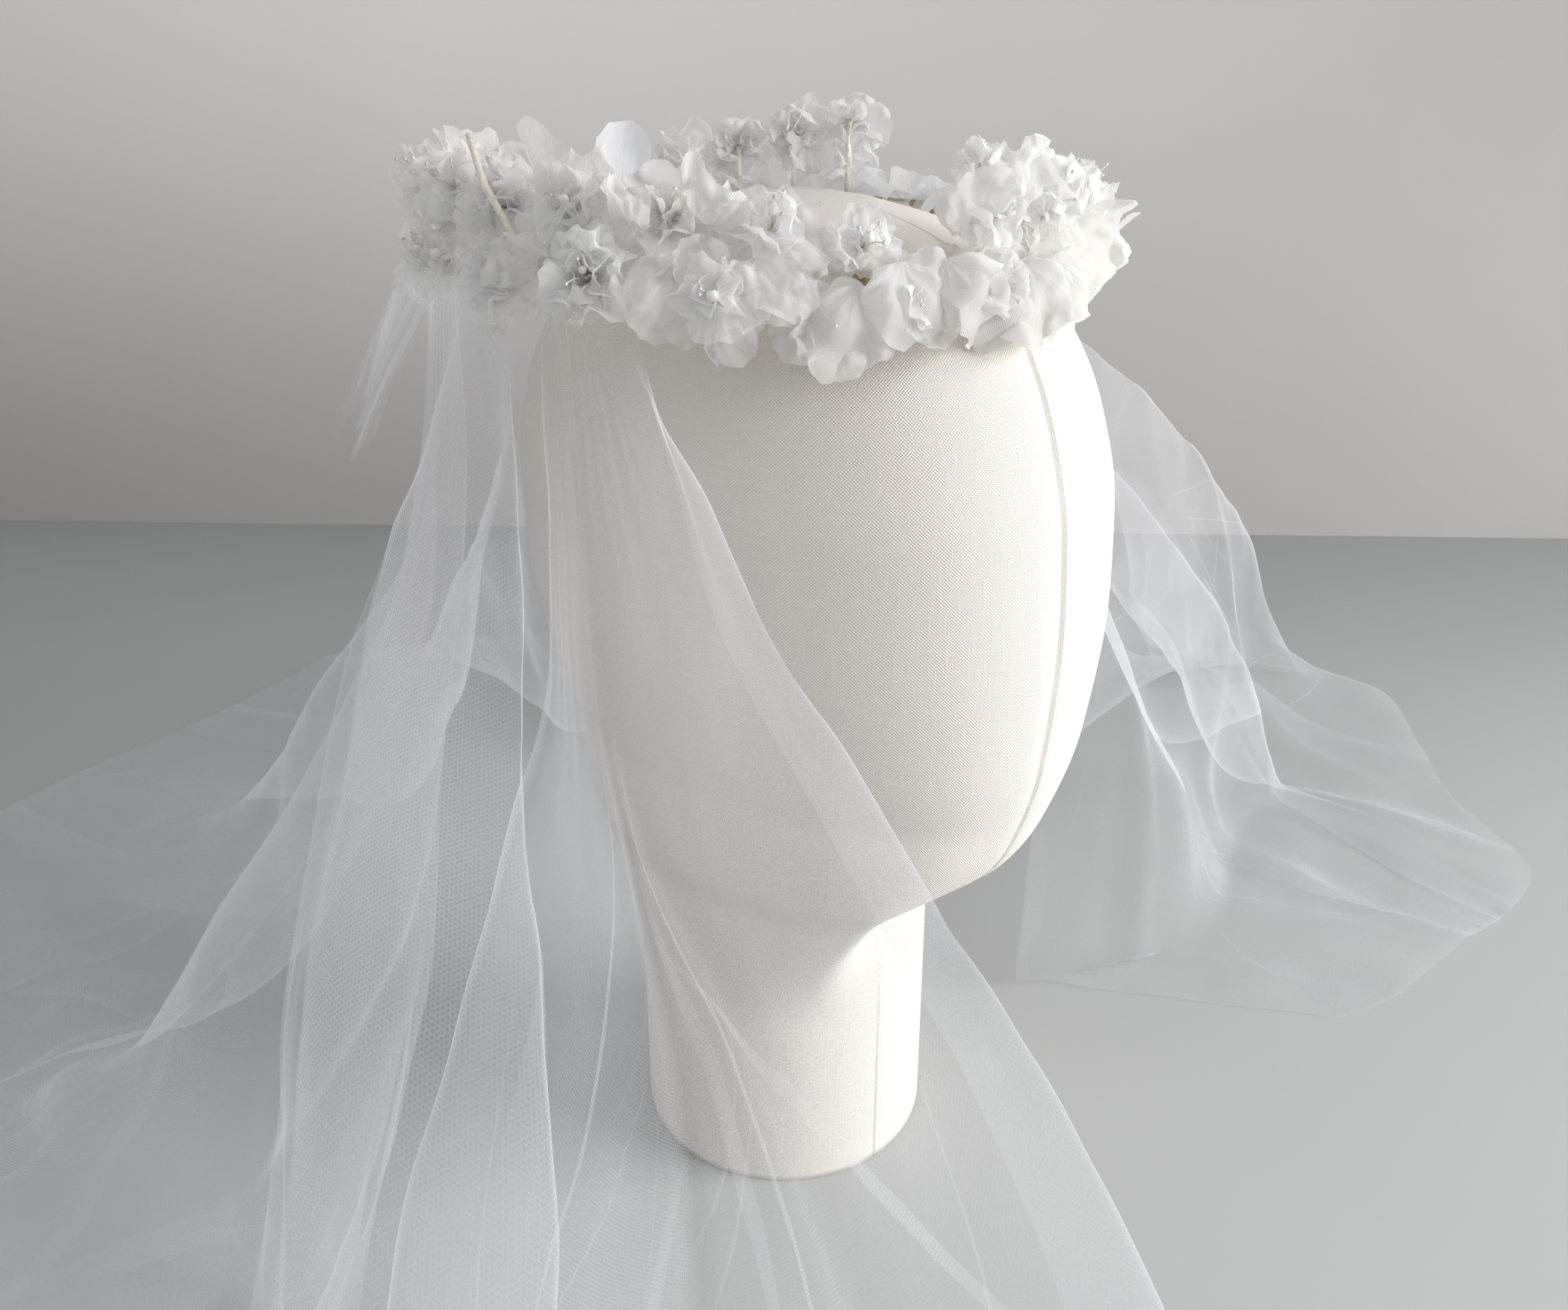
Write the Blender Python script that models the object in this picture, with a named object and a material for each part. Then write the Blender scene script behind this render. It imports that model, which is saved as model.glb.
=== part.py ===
"""Bridal veil on a canvas head form.

A gathered tulle veil hangs from the back of a taped wire circlet that carries
silk blossoms, and the circlet sits on a limbless head form with a round neck.

Frame: metres, +Z up, the head faces -Y, and the origin is the centre of the
neck's flat underside.  Azimuths are in degrees round the Z axis, from the face
(0) over the wearer's right (90) and the back (180) to the wearer's left (270).
"""

import math
from collections import namedtuple

import bmesh
import bpy
import numpy as np

# ---------------------------------------------------------------- sizes
GAP = 0.0003             # clearance between pieces that touch
HEAD_SIDES = 40          # facets round the head form

CIRCLET_RADIUS = 0.0965  # middle of the taped wire
CIRCLET_BACK = 0.0135    # how far the circlet's centre lies behind the neck's
CIRCLET_HEIGHT = 0.3265
CIRCLET_RISE = 0.0030    # how much higher its back is than its middle
TAPE_RADIUS = 0.0026
CIRCLET_FACETS = 56
TAPE_SIDES = 6

CLOTH = 0.0012           # thickness of the veil's wall
HEADING_DROP = 0.0030    # from the wire's middle down to the veil's top edge
HEADING_OUT = 0.0006     # the veil's top edge outside the wire's middle
PLEAT_DEPTH = 0.0060     # between the two layers of a flat pleat
PLEAT_GATHERED = 0.7     # share of that depth at the heading
PLEAT_OPENS = 0.07       # how far below the heading it is full
ROWS_DOWN = 17           # rows of the veil from heading to hem
ROW_CROWDING = 1.25      # above 1, the rows lie closer together near the heading
COLUMN_WIDTH = 0.034     # width of a column of the veil at its hem
SEAM_GAP = 0.0004        # between two neighbouring stretches of the veil

FRILL_START = 84.0       # azimuths of the frill that covers the gathers
FRILL_END = 206.0
FRILL_WAVES = 18
FRILL_WIDTHS = [(84, .032), (96, .026), (108, .019), (122, .016), (138, .017), (154, .025), (172, .032)]
FRILL_BELOW = 0.0022     # its inner edge below the wire's middle
FRILL_DROP = 0.036       # from there down to its outer edge
FRILL_WAVE = 0.0035      # height of its waves at the outer edge
FRILL_OUT = 0.0026       # its inner edge outside the wire's middle

PETAL = 0.0010           # thickness of a stiffened silk petal
LOBE = 0.26              # depth of the notches between petals, as a share of the flower's radius
HEART_RISE = 0.40        # height of a flower's gathered heart, as a share of its radius
STEM_RADIUS = 0.0011
SEAT_DEPTH = 0.0026      # where a flower's stem leaves it, behind its middle

# Sections of the head form, bottom to top: how far each reaches to the front,
# to the back and to either side of the neck's axis.
Section = namedtuple("Section", "height front back side")
HEAD_SECTIONS = [
    Section(0.0000, 0.0540, 0.0540, 0.0540),
    Section(0.0550, 0.0535, 0.0535, 0.0535),
    Section(0.1060, 0.0530, 0.0530, 0.0530),
    Section(0.1140, 0.0560, 0.0530, 0.0532),
    Section(0.1175, 0.0660, 0.0530, 0.0535),
    Section(0.1240, 0.0780, 0.0535, 0.0550),
    Section(0.1400, 0.0925, 0.0570, 0.0590),
    Section(0.1650, 0.1065, 0.0680, 0.0665),
    Section(0.1950, 0.1148, 0.0820, 0.0750),
    Section(0.2300, 0.1170, 0.0920, 0.0808),
    Section(0.2600, 0.1150, 0.0918, 0.0808),
    Section(0.2850, 0.1085, 0.0865, 0.0765),
    Section(0.3050, 0.0985, 0.0765, 0.0680),
    Section(0.3200, 0.0840, 0.0620, 0.0550),
    Section(0.3310, 0.0610, 0.0430, 0.0400),
    Section(0.3375, 0.0330, 0.0210, 0.0200),
]
HEAD_TOP = 0.3398

# Folds of the veil, from its front edge at the wearer's right, round the back,
# to its front edge at the wearer's left.  Each runs from the heading over a
# shoulder and a knee to where it lands on the table and on to the hem, given
# as (azimuth, distance from the neck's axis, height).  Layer tells how a flat
# pleat turns there: the cloth goes on one layer in (1), or comes from one (-1).
Fold = namedtuple("Fold", "name heading shoulder knee landing hem layer", defaults=[0])
FOLDS = [
    Fold("right_edge", 56, (44, .146, .264), (28, .254, .189), (27, .405, .008), (28, .465, .008)),
    Fold("right_edge_turn", 61, (42, .135, .268), (24, .257, .184), (21, .402, .0085), (21, .47, .008), 1),
    Fold("temple_valley", 66, (67, .103, .222), (52, .124, .117), (45, .171, .002), (33, .4, .0006)),
    Fold("pleat_inner_turn", 71, (64, .13, .236), (55, .243, .172), (49, .39, .007), (47, .444, .007), -1),
    Fold("pleat_front_turn", 78, (62, .146, .238), (47, .252, .181), (42, .402, .014), (40, .462, .014), -1),
    Fold("pleat_back_edge", 87, (75, .157, .252), (56.5, .262, .184), (48, .397, .014), (47, .455, .012)),
    Fold("side_valley", 93, (93, .114, .22), (91, .15, .09), (89, .202, .003), (80, .44, .0006)),
    Fold("side_ridge", 104, (117, .124, .226), (119, .196, .112), (118, .284, .017), (113, .452, .006)),
    Fold("back_side_valley", 116, (136, .125, .21), (142, .183, .08), (142, .25, .0025), (134, .447, .0006)),
    Fold("back_side_ridge", 128, (152, .146, .228), (156, .238, .122), (157, .345, .024), (153, .47, .008)),
    Fold("back_right_valley", 141, (163, .145, .21), (169, .22, .08), (171, .31, .003), (166, .485, .0006)),
    Fold("back_arch", 153, (175, .168, .236), (182, .298, .128), (183, .412, .034), (180, .5, .01)),
    Fold("back_valley", 166, (187, .15, .208), (192, .248, .07), (194, .335, .002), (195, .492, .0006)),
    Fold("back_ridge", 179, (199, .17, .236), (208, .286, .118), (209, .378, .02), (209, .496, .006)),
    Fold("back_left_valley", 192, (212, .152, .208), (219, .236, .07), (220, .306, .002), (222, .468, .0006)),
    Fold("back_left_ridge", 205, (229, .168, .244), (235, .286, .126), (236, .384, .02), (237, .5, .006)),
    Fold("left_back_valley", 216, (241, .154, .226), (247, .262, .098), (249, .326, .003), (248, .478, .0006)),
    Fold("left_back_fold", 228, (253, .265, .25), (258, .445, .115), (260, .5, .026), (265, .53, .006)),
    Fold("left_valley", 240, (257, .168, .212), (264, .285, .09), (266, .36, .003), (278, .44, .0006)),
    Fold("left_fold", 252, (265, .2, .214), (270, .3, .101), (271, .354, .012), (288, .404, .005)),
    Fold("left_fold_under", 260, (267, .186, .156), (270, .246, .07), (271, .318, .003), (291, .368, .0006)),
    Fold("cheek_fold", 269, (281, .148, .168), (284, .182, .094), (285, .216, .01), (294, .322, .005)),
    Fold("cheek_valley", 277, (284, .126, .15), (284, .142, .066), (283, .168, .002), (298, .276, .0006)),
    Fold("left_edge", 284, (286, .112, .2), (283, .113, .08), (280, .118, .003), (300, .242, .0006)),
]

# The veil is one length of tulle, kept here as stretches between these folds.
STRETCH_ENDS = [
    ("veil_right_edge", "right_edge", "temple_valley"),
    ("veil_right_pleat", "temple_valley", "side_valley"),
    ("veil_right_side", "side_valley", "back_right_valley"),
    ("veil_back_right", "back_right_valley", "back_valley"),
    ("veil_back", "back_valley", "back_left_ridge"),
    ("veil_back_left", "back_left_ridge", "left_valley"),
    ("veil_left_side", "left_valley", "left_edge"),
]

# Blossoms on the circlet: azimuth, distance out from the wire and up from it,
# width, how far it faces up and to the side, its turn about its own axis and
# its number of petals.
Blossom = namedtuple("Blossom", "azimuth out up width facing swing turn petals")
BLOSSOMS = [
    Blossom(18, 0.0170, -0.0020, 0.0190, 12, 0, 30, 5),
    Blossom(29, 0.0165, -0.0085, 0.0205, 4, 0, 5, 5),
    Blossom(42, 0.0185, -0.0015, 0.0215, 14, 0, 50, 5),
    Blossom(56, 0.0200, 0.0020, 0.0245, 20, 0, 60, 6),
    Blossom(6.5, 0.0170, -0.0020, 0.0205, 14, 0, 40, 6),
    Blossom(355, 0.0130, -0.0045, 0.0190, 14, 12, 15, 5),
    Blossom(24, 0.0120, 0.0090, 0.0180, 34, 0, 20, 5),
    Blossom(35, 0.0090, 0.0130, 0.0240, 38, 0, 45, 5),
    Blossom(48, 0.0080, 0.0150, 0.0240, 42, 0, 35, 5),
    Blossom(61, 0.0080, 0.0155, 0.0240, 42, 0, 0, 5),
    Blossom(73.5, 0.0060, 0.0150, 0.0230, 42, -6, 40, 5),
    Blossom(86, 0.0025, 0.0155, 0.0230, 44, -10, 15, 5),
    Blossom(99, -0.0005, 0.0150, 0.0210, 46, -16, 55, 5),
    Blossom(112, -0.0010, 0.0150, 0.0210, 54, -10, 25, 5),
    Blossom(125.5, -0.0005, 0.0155, 0.0220, 56, 0, 45, 5),
    Blossom(139, 0.0005, 0.0155, 0.0220, 56, 0, 5, 5),
    Blossom(153, 0.0015, 0.0140, 0.0210, 56, 0, 30, 5),
    Blossom(201, 0.0030, 0.0150, 0.0230, 56, 0, 12, 5),
    Blossom(213, 0.0045, 0.0190, 0.0230, 50, 0, 48, 5),
    Blossom(225, 0.0045, 0.0235, 0.0240, 46, 0, 22, 5),
    Blossom(237, 0.0050, 0.0285, 0.0230, 42, 0, 20, 5),
    Blossom(269, 0.0035, 0.0155, 0.0220, 55, 0, 0, 5),
    Blossom(283, 0.0035, 0.0160, 0.0220, 52, 0, 50, 5),
    Blossom(297, 0.0025, 0.0150, 0.0220, 48, 8, 25, 5),
    Blossom(311, 0.0020, 0.0145, 0.0220, 44, 14, 10, 5),
    Blossom(350, 0.0050, 0.0150, 0.0230, 42, 10, 40, 5),
    Blossom(3.5, 0.0070, 0.0155, 0.0230, 42, 4, 20, 5),
    Blossom(70.5, 0.0155, -0.0010, 0.0210, 22, -4, 35, 5),
    Blossom(83, 0.0115, 0.0000, 0.0180, 26, -10, 10, 5),
    Blossom(94, 0.0075, 0.0000, 0.0140, 26, -16, 30, 5),
]

# Single petals: azimuth, distance out and up of the root, length, width, the
# angle at which the petal leaves its root above level, and how far it curls.
Petal = namedtuple("Petal", "name azimuth out up length width rise curl")
PETALS = [
    Petal("petal_back_round", 186, 0.0000, 0.0031, 0.023, 0.024, 72, 12),
    Petal("petal_leaf_right", 171, 0.0004, 0.0033, 0.030, 0.013, 50, 8),
    Petal("petal_leaf_left", 330, 0.0028, 0.0005, 0.019, 0.011, 32, 6),
]


# ---------------------------------------------------------------- helpers
def clear_scene():
    for item in list(bpy.data.objects):
        bpy.data.objects.remove(item, do_unlink=True)


def material(name, colour, roughness, metallic=0.0):
    made = bpy.data.materials.new(name)
    made.use_nodes = True
    shader = made.node_tree.nodes["Principled BSDF"]
    shader.inputs["Base Color"].default_value = (*colour, 1.0)
    shader.inputs["Roughness"].default_value = roughness
    shader.inputs["Metallic"].default_value = metallic
    return made


def add_object(name, points, faces, finish):
    """One smooth-shaded object from points and faces, its faces turned outward."""
    mesh = bpy.data.meshes.new(name)
    mesh.from_pydata([tuple(map(float, p)) for p in points], [], faces)
    shape = bmesh.new()
    shape.from_mesh(mesh)
    bmesh.ops.recalc_face_normals(shape, faces=shape.faces)
    shape.to_mesh(mesh)
    shape.free()
    mesh.materials.append(finish)
    mesh.shade_smooth()
    mesh.set_sharp_from_angle(angle=math.radians(50))
    made = bpy.data.objects.new(name, mesh)
    bpy.context.scene.collection.objects.link(made)
    return made


def outward(azimuth):
    """Level unit vector pointing away from the Z axis at this azimuth."""
    angle = math.radians(azimuth)
    return np.array([-math.sin(angle), -math.cos(angle), 0.0])


def polar(azimuth, radius, height):
    return outward(azimuth) * radius + np.array([0.0, 0.0, height])


def on_circlet(azimuth, out=0.0, up=0.0):
    """A point beside the middle of the circlet's wire."""
    tilt = -CIRCLET_RISE * math.cos(math.radians(azimuth))
    centre = np.array([0.0, CIRCLET_BACK, CIRCLET_HEIGHT + tilt + up])
    return centre + outward(azimuth) * (CIRCLET_RADIUS + out)


def smooth_run(knots, values, at):
    """Values at the places given, on a smooth curve that never overshoots its knots."""
    step = np.diff(knots)
    slope = np.diff(values, axis=0) / step[:, None]
    tangent = np.zeros_like(values)
    tangent[0] = slope[0]
    tangent[-1] = slope[-1]
    before, after = slope[:-1], slope[1:]
    same_way = before * after > 0
    weight = 2.0 * before * after / np.where(same_way, before + after, 1.0)
    tangent[1:-1] = np.where(same_way, weight, 0.0)
    span = np.clip(np.searchsorted(knots, at, side="right") - 1, 0, len(step) - 1)
    width = step[span][:, None]
    t = ((at - knots[span])[:, None]) / width
    start, end = values[span], values[span + 1]
    lead, tail = tangent[span] * width, tangent[span + 1] * width
    return ((2 * t**3 - 3 * t**2 + 1) * start + (t**3 - 2 * t**2 + t) * lead
            + (-2 * t**3 + 3 * t**2) * end + (t**3 - t**2) * tail)


def chords(points, power=1.0):
    """Running distance along a line of points, each step raised to a power."""
    steps = np.linalg.norm(np.diff(points, axis=0), axis=1)
    return np.concatenate([[0.0], np.cumsum(steps**power)])


# ---------------------------------------------------------------- closed solids
def unit(vectors):
    return vectors / np.linalg.norm(vectors, axis=-1, keepdims=True)


def heading_along(grid, axis):
    """Unit direction of a grid's lines at each point, which halves the turn at a sharp fold."""
    lines = np.moveaxis(grid, axis, 0)
    steps = unit(np.diff(lines, axis=0))
    flow = np.concatenate([steps[:1], steps[:-1] + steps[1:], steps[-1:]])
    return np.moveaxis(unit(flow), 0, axis)


def grid_normals(grid):
    return unit(np.cross(heading_along(grid, 1), heading_along(grid, 0)))


def wall_faces(rows, columns):
    """Faces of a closed wall, whose outer and inner grids are cut along the same diagonals."""
    faces = []
    inner = rows * columns
    for i in range(rows - 1):
        for j in range(columns - 1):
            a, b = i * columns + j, i * columns + j + 1
            c, d = a + columns, b + columns
            faces += [(a, b, d), (a, d, c)]
            faces += [(inner + a, inner + d, inner + b), (inner + a, inner + c, inner + d)]
    for i in range(rows - 1):
        for j, flip in ((0, False), (columns - 1, True)):
            a, c = i * columns + j, (i + 1) * columns + j
            rim = (a, c, inner + c, inner + a)
            faces.append(rim[::-1] if flip else rim)
    for j in range(columns - 1):
        for i, flip in ((0, True), (rows - 1, False)):
            a, b = i * columns + j, i * columns + j + 1
            rim = (a, b, inner + b, inner + a)
            faces.append(rim[::-1] if flip else rim)
    return faces


def wall_points(grid, normals, thickness):
    outer = grid + normals * thickness / 2
    inner = grid - normals * thickness / 2
    points = np.concatenate([outer.reshape(-1, 3), inner.reshape(-1, 3)])
    points[:, 2] = np.maximum(points[:, 2], 0.0)
    return points


# ---------------------------------------------------------------- head form
def make_head_form(canvas):
    points, faces = [], []
    for section in HEAD_SECTIONS:
        for k in range(HEAD_SIDES):
            angle = 2 * math.pi * k / HEAD_SIDES
            reach = section.front if math.cos(angle) > 0 else section.back
            points.append((-section.side * math.sin(angle), -reach * math.cos(angle), section.height))
    for i in range(len(HEAD_SECTIONS) - 1):
        for k in range(HEAD_SIDES):
            a, b = i * HEAD_SIDES + k, i * HEAD_SIDES + (k + 1) % HEAD_SIDES
            faces.append((a, b, b + HEAD_SIDES, a + HEAD_SIDES))
    faces.append(tuple(range(HEAD_SIDES)))
    top = len(points)
    last = (len(HEAD_SECTIONS) - 1) * HEAD_SIDES
    crown = HEAD_SECTIONS[-1]
    points.append((0.0, (crown.back - crown.front) / 2, HEAD_TOP))
    for k in range(HEAD_SIDES):
        faces.append((last + k, last + (k + 1) % HEAD_SIDES, top))
    return add_object("head_form", points, faces, canvas)


# ---------------------------------------------------------------- circlet
def make_circlet(tape):
    points, faces = [], []
    for i in range(CIRCLET_FACETS):
        azimuth = 360.0 * i / CIRCLET_FACETS
        middle = on_circlet(azimuth)
        for k in range(TAPE_SIDES):
            angle = 2 * math.pi * (k + 0.5) / TAPE_SIDES
            lift = np.array([0.0, 0.0, TAPE_RADIUS * math.sin(angle)])
            points.append(middle + outward(azimuth) * TAPE_RADIUS * math.cos(angle) + lift)
    for i in range(CIRCLET_FACETS):
        after = (i + 1) % CIRCLET_FACETS
        for k in range(TAPE_SIDES):
            beside = (k + 1) % TAPE_SIDES
            faces.append((i * TAPE_SIDES + k, i * TAPE_SIDES + beside,
                          after * TAPE_SIDES + beside, after * TAPE_SIDES + k))
    return add_object("circlet", points, faces, tape)


# ---------------------------------------------------------------- veil
def fold_line(fold, rows):
    """Points of a fold from heading to hem, closer together near the heading."""
    start = on_circlet(fold.heading, HEADING_OUT, -HEADING_DROP)
    turns = [polar(*place) for place in (fold.shoulder, fold.knee, fold.landing, fold.hem)]
    knots = np.array([start] + turns)
    places = chords(knots)
    fine = smooth_run(places, knots, np.linspace(0.0, places[-1], 90))
    run = chords(fine)
    spaced = run[-1] * np.linspace(0.0, 1.0, rows) ** ROW_CROWDING
    return np.stack([np.interp(spaced, run, fine[:, axis]) for axis in range(3)], axis=1)


def layer_below(line):
    """The same fold line one pleat depth further in, square to the fold."""
    tangent = np.gradient(line, axis=0)
    tangent /= np.linalg.norm(tangent, axis=1)[:, None]
    level = tangent.copy()
    level[:, 2] = 0.0
    size = np.maximum(np.linalg.norm(level, axis=1), 1e-6)[:, None]
    away = level / size
    inward = away * tangent[:, 2:3]
    inward[:, 2] = -size[:, 0]
    inward /= np.linalg.norm(inward, axis=1)[:, None]
    opened = np.clip(chords(line) / PLEAT_OPENS, 0.0, 1.0)[:, None]
    return line + inward * PLEAT_DEPTH * (PLEAT_GATHERED + (1 - PLEAT_GATHERED) * opened)


def veil_lines():
    """Every fold line in order, a flat pleat's turn as two lines, with its fold's name."""
    lines = []
    for fold in FOLDS:
        line = fold_line(fold, ROWS_DOWN)
        if fold.layer == 0:
            lines.append((fold.name, line))
        elif fold.layer > 0:
            lines += [(fold.name, line), (fold.name, layer_below(line))]
        else:
            lines += [(fold.name, layer_below(line)), (fold.name, line)]
    return lines


def cross_section(points, counts):
    """A rounded curve through one row of fold points, with so many steps in each span."""
    places = chords(points, 0.5)
    tangent = np.zeros_like(points)
    tangent[0] = (points[1] - points[0]) / (places[1] - places[0])
    tangent[-1] = (points[-1] - points[-2]) / (places[-1] - places[-2])
    for i in range(1, len(points) - 1):
        before, after = places[i] - places[i - 1], places[i + 1] - places[i]
        tangent[i] = ((points[i] - points[i - 1]) / before + (points[i + 1] - points[i]) / after
                      - (points[i + 1] - points[i - 1]) / (before + after))
    out = [points[0]]
    for i, count in enumerate(counts):
        width = places[i + 1] - places[i]
        for step in range(1, count + 1):
            t = step / count
            out.append((2 * t**3 - 3 * t**2 + 1) * points[i] + (t**3 - 2 * t**2 + t) * tangent[i] * width
                       + (3 * t**2 - 2 * t**3) * points[i + 1] + (t**3 - t**2) * tangent[i + 1] * width)
    return np.array(out)


def veil_grid():
    """The veil's middle surface as rows of points, and the column of each fold."""
    lines = veil_lines()
    stack = np.array([line for _, line in lines])
    hems = np.linalg.norm(np.diff(stack[:, -1], axis=0), axis=1)
    counts = [max(2, round(float(width) / COLUMN_WIDTH)) for width in hems]
    grid = np.array([cross_section(stack[:, row], counts) for row in range(ROWS_DOWN)])
    grid[:, :, 2] = np.maximum(grid[:, :, 2], CLOTH / 2)
    columns = {}
    at = 0
    for index, (name, _) in enumerate(lines):
        columns.setdefault(name, at)
        if index < len(counts):
            at += counts[index]
    return grid, columns


def make_veil(tulle):
    grid, columns = veil_grid()
    normals = grid_normals(grid)
    across = heading_along(grid, 1)
    last = grid.shape[1] - 1
    for name, first_fold, last_fold in STRETCH_ENDS:
        lo, hi = columns[first_fold], columns[last_fold]
        part = grid[:, lo:hi + 1].copy()
        if lo > 0:
            part[:, 0] += across[:, lo] * SEAM_GAP / 2
        if hi < last:
            part[:, -1] -= across[:, hi] * SEAM_GAP / 2
        points = wall_points(part, normals[:, lo:hi + 1], CLOTH)
        add_object(name, points, wall_faces(*part.shape[:2]), tulle)


def make_frill(tulle):
    """A short waved strip of tulle that stands out over the gathers."""
    columns = FRILL_WAVES * 2 + 1
    rows = 3
    grid = np.zeros((rows, columns, 3))
    for j in range(columns):
        azimuth = FRILL_START + (FRILL_END - FRILL_START) * j / (columns - 1)
        width = np.interp(azimuth, *zip(*FRILL_WIDTHS))
        uneven = 1.0 + 0.18 * math.sin(2.1 * j) + 0.12 * math.sin(5.3 * j)
        for i in range(rows):
            t = i / (rows - 1)
            out = FRILL_OUT + width * t * uneven
            wave = FRILL_WAVE * t * (1 if j % 2 else -1)
            up = -FRILL_BELOW - FRILL_DROP * t**1.5 * uneven + wave
            grid[i, j] = on_circlet(azimuth, out, up)
    points = wall_points(grid, grid_normals(grid), CLOTH)
    return add_object("heading_frill", points, wall_faces(rows, columns), tulle)


# ---------------------------------------------------------------- flowers
def axes_facing(azimuth, elevation, turn):
    """Unit vectors of a flower that faces out at this azimuth and elevation."""
    rise = math.radians(elevation)
    face = outward(azimuth) * math.cos(rise) + np.array([0.0, 0.0, math.sin(rise)])
    side = np.cross(face, [0.0, 0.0, 1.0])
    side /= np.linalg.norm(side)
    up = np.cross(side, face)
    spin = math.radians(turn)
    return face, side * math.cos(spin) + up * math.sin(spin), up * math.cos(spin) - side * math.sin(spin)


def make_blossom(name, blossom, silk):
    """A cupped flower of joined petals with a stem that ends on the circlet."""
    around = blossom.petals * 3
    radius = blossom.width / 2
    centre = on_circlet(blossom.azimuth, blossom.out, blossom.up)
    face, right, up = axes_facing(blossom.azimuth + blossom.swing, blossom.facing, blossom.turn)

    def ring(share, depth, lobe):
        loop = []
        for k in range(around):
            angle = 2 * math.pi * k / around
            petal = abs(math.sin(blossom.petals * angle / 2))
            reach = radius * share * (1 - lobe + lobe * petal**0.6)
            cup = radius * 0.42 * share**1.5 + depth
            loop.append(centre + (right * math.cos(angle) + up * math.sin(angle)) * reach + face * cup)
        return loop

    wire = on_circlet(blossom.azimuth)
    toward = centre - wire
    toward /= np.linalg.norm(toward)
    foot = wire + toward * (TAPE_RADIUS + GAP)
    stem_side = np.cross(toward, outward(blossom.azimuth + 90))
    stem_side /= np.linalg.norm(stem_side)
    stem_up = np.cross(toward, stem_side)

    heart_height = radius * HEART_RISE
    rings = [ring(0.22, heart_height * 0.8, 0.0), ring(0.40, 0.0, 0.0), ring(1.0, 0.0, LOBE),
             ring(1.0, -PETAL, LOBE), ring(0.40, -PETAL, 0.0)]
    seat = centre - toward * SEAT_DEPTH
    for place in (seat, foot):
        loop = []
        for k in range(around):
            angle = 2 * math.pi * k / around
            level = (right * math.cos(angle) + up * math.sin(angle))
            flat = level - toward * float(np.dot(level, toward))
            loop.append(place + flat / np.linalg.norm(flat) * STEM_RADIUS)
        rings.append(loop)
    points = [point for loop in rings for point in loop]
    faces = []
    for i in range(len(rings) - 1):
        for k in range(around):
            a, b = i * around + k, i * around + (k + 1) % around
            faces.append((a, b, b + around, a + around))
    heart = len(points)
    points.append(centre + face * heart_height)
    points.append(foot)
    end = (len(rings) - 1) * around
    for k in range(around):
        faces.append((k, (k + 1) % around, heart))
        faces.append((end + k, end + (k + 1) % around, heart + 1))
    return add_object(name, points, faces, silk)


def make_petal(petal, silk):
    """A single stiffened petal that hangs or stands from its root by the wire."""
    rows, columns = 7, 5
    root = on_circlet(petal.azimuth, petal.out, petal.up)
    away = outward(petal.azimuth)
    side = np.cross(away, [0.0, 0.0, 1.0])
    grid = np.zeros((rows, columns, 3))
    middle = root
    for i in range(rows):
        t = i / (rows - 1)
        angle = math.radians(petal.rise + petal.curl * t)
        ahead = away * math.cos(angle) + np.array([0.0, 0.0, math.sin(angle)])
        normal = np.cross(side, ahead)
        if i:
            middle = middle + ahead * petal.length / (rows - 1)
        half = petal.width / 2 * (0.16 + 0.84 * math.sin(math.pi * (0.06 + 0.80 * t)) ** 0.8)
        for j in range(columns):
            s = 2 * j / (columns - 1) - 1
            grid[i, j] = middle + side * half * s - normal * 0.16 * half * s * s
    points = wall_points(grid, grid_normals(grid), PETAL)
    return add_object(petal.name, points, wall_faces(rows, columns), silk)


# ---------------------------------------------------------------- the whole
def main():
    clear_scene()
    canvas = material("canvas", (0.80, 0.77, 0.70), 0.9)
    tape = material("floral_tape", (0.42, 0.33, 0.17), 0.7)
    tulle = material("tulle", (0.90, 0.91, 0.94), 0.6)
    satin = material("satin_silk", (0.93, 0.92, 0.91), 0.35)
    make_head_form(canvas)
    make_circlet(tape)
    make_veil(tulle)
    make_frill(tulle)
    for index, blossom in enumerate(BLOSSOMS, start=1):
        make_blossom(f"blossom_{index:02d}", blossom, satin)
    for petal in PETALS:
        make_petal(petal, satin)


main()
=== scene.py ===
import math
import random
from collections import namedtuple

import bpy
import numpy as np
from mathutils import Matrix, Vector, noise


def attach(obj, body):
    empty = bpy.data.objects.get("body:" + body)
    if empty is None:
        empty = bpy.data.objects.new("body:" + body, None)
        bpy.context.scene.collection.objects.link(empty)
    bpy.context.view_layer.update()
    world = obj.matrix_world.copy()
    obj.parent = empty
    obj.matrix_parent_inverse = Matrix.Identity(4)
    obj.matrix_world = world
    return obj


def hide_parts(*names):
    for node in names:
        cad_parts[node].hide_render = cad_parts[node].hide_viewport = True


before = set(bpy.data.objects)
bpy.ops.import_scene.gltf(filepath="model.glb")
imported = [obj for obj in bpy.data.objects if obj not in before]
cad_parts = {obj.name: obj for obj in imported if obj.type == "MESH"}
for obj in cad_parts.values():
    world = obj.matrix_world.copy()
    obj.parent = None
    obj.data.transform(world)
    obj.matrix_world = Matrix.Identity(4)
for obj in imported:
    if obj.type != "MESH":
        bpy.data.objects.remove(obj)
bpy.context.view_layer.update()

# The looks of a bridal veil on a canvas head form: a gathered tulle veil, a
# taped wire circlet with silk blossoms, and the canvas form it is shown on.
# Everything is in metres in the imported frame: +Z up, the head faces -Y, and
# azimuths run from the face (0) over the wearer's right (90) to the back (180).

# ---------------------------------------------------------------- sizes
CIRCLET_RADIUS = 0.0965  # middle of the taped wire
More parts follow.
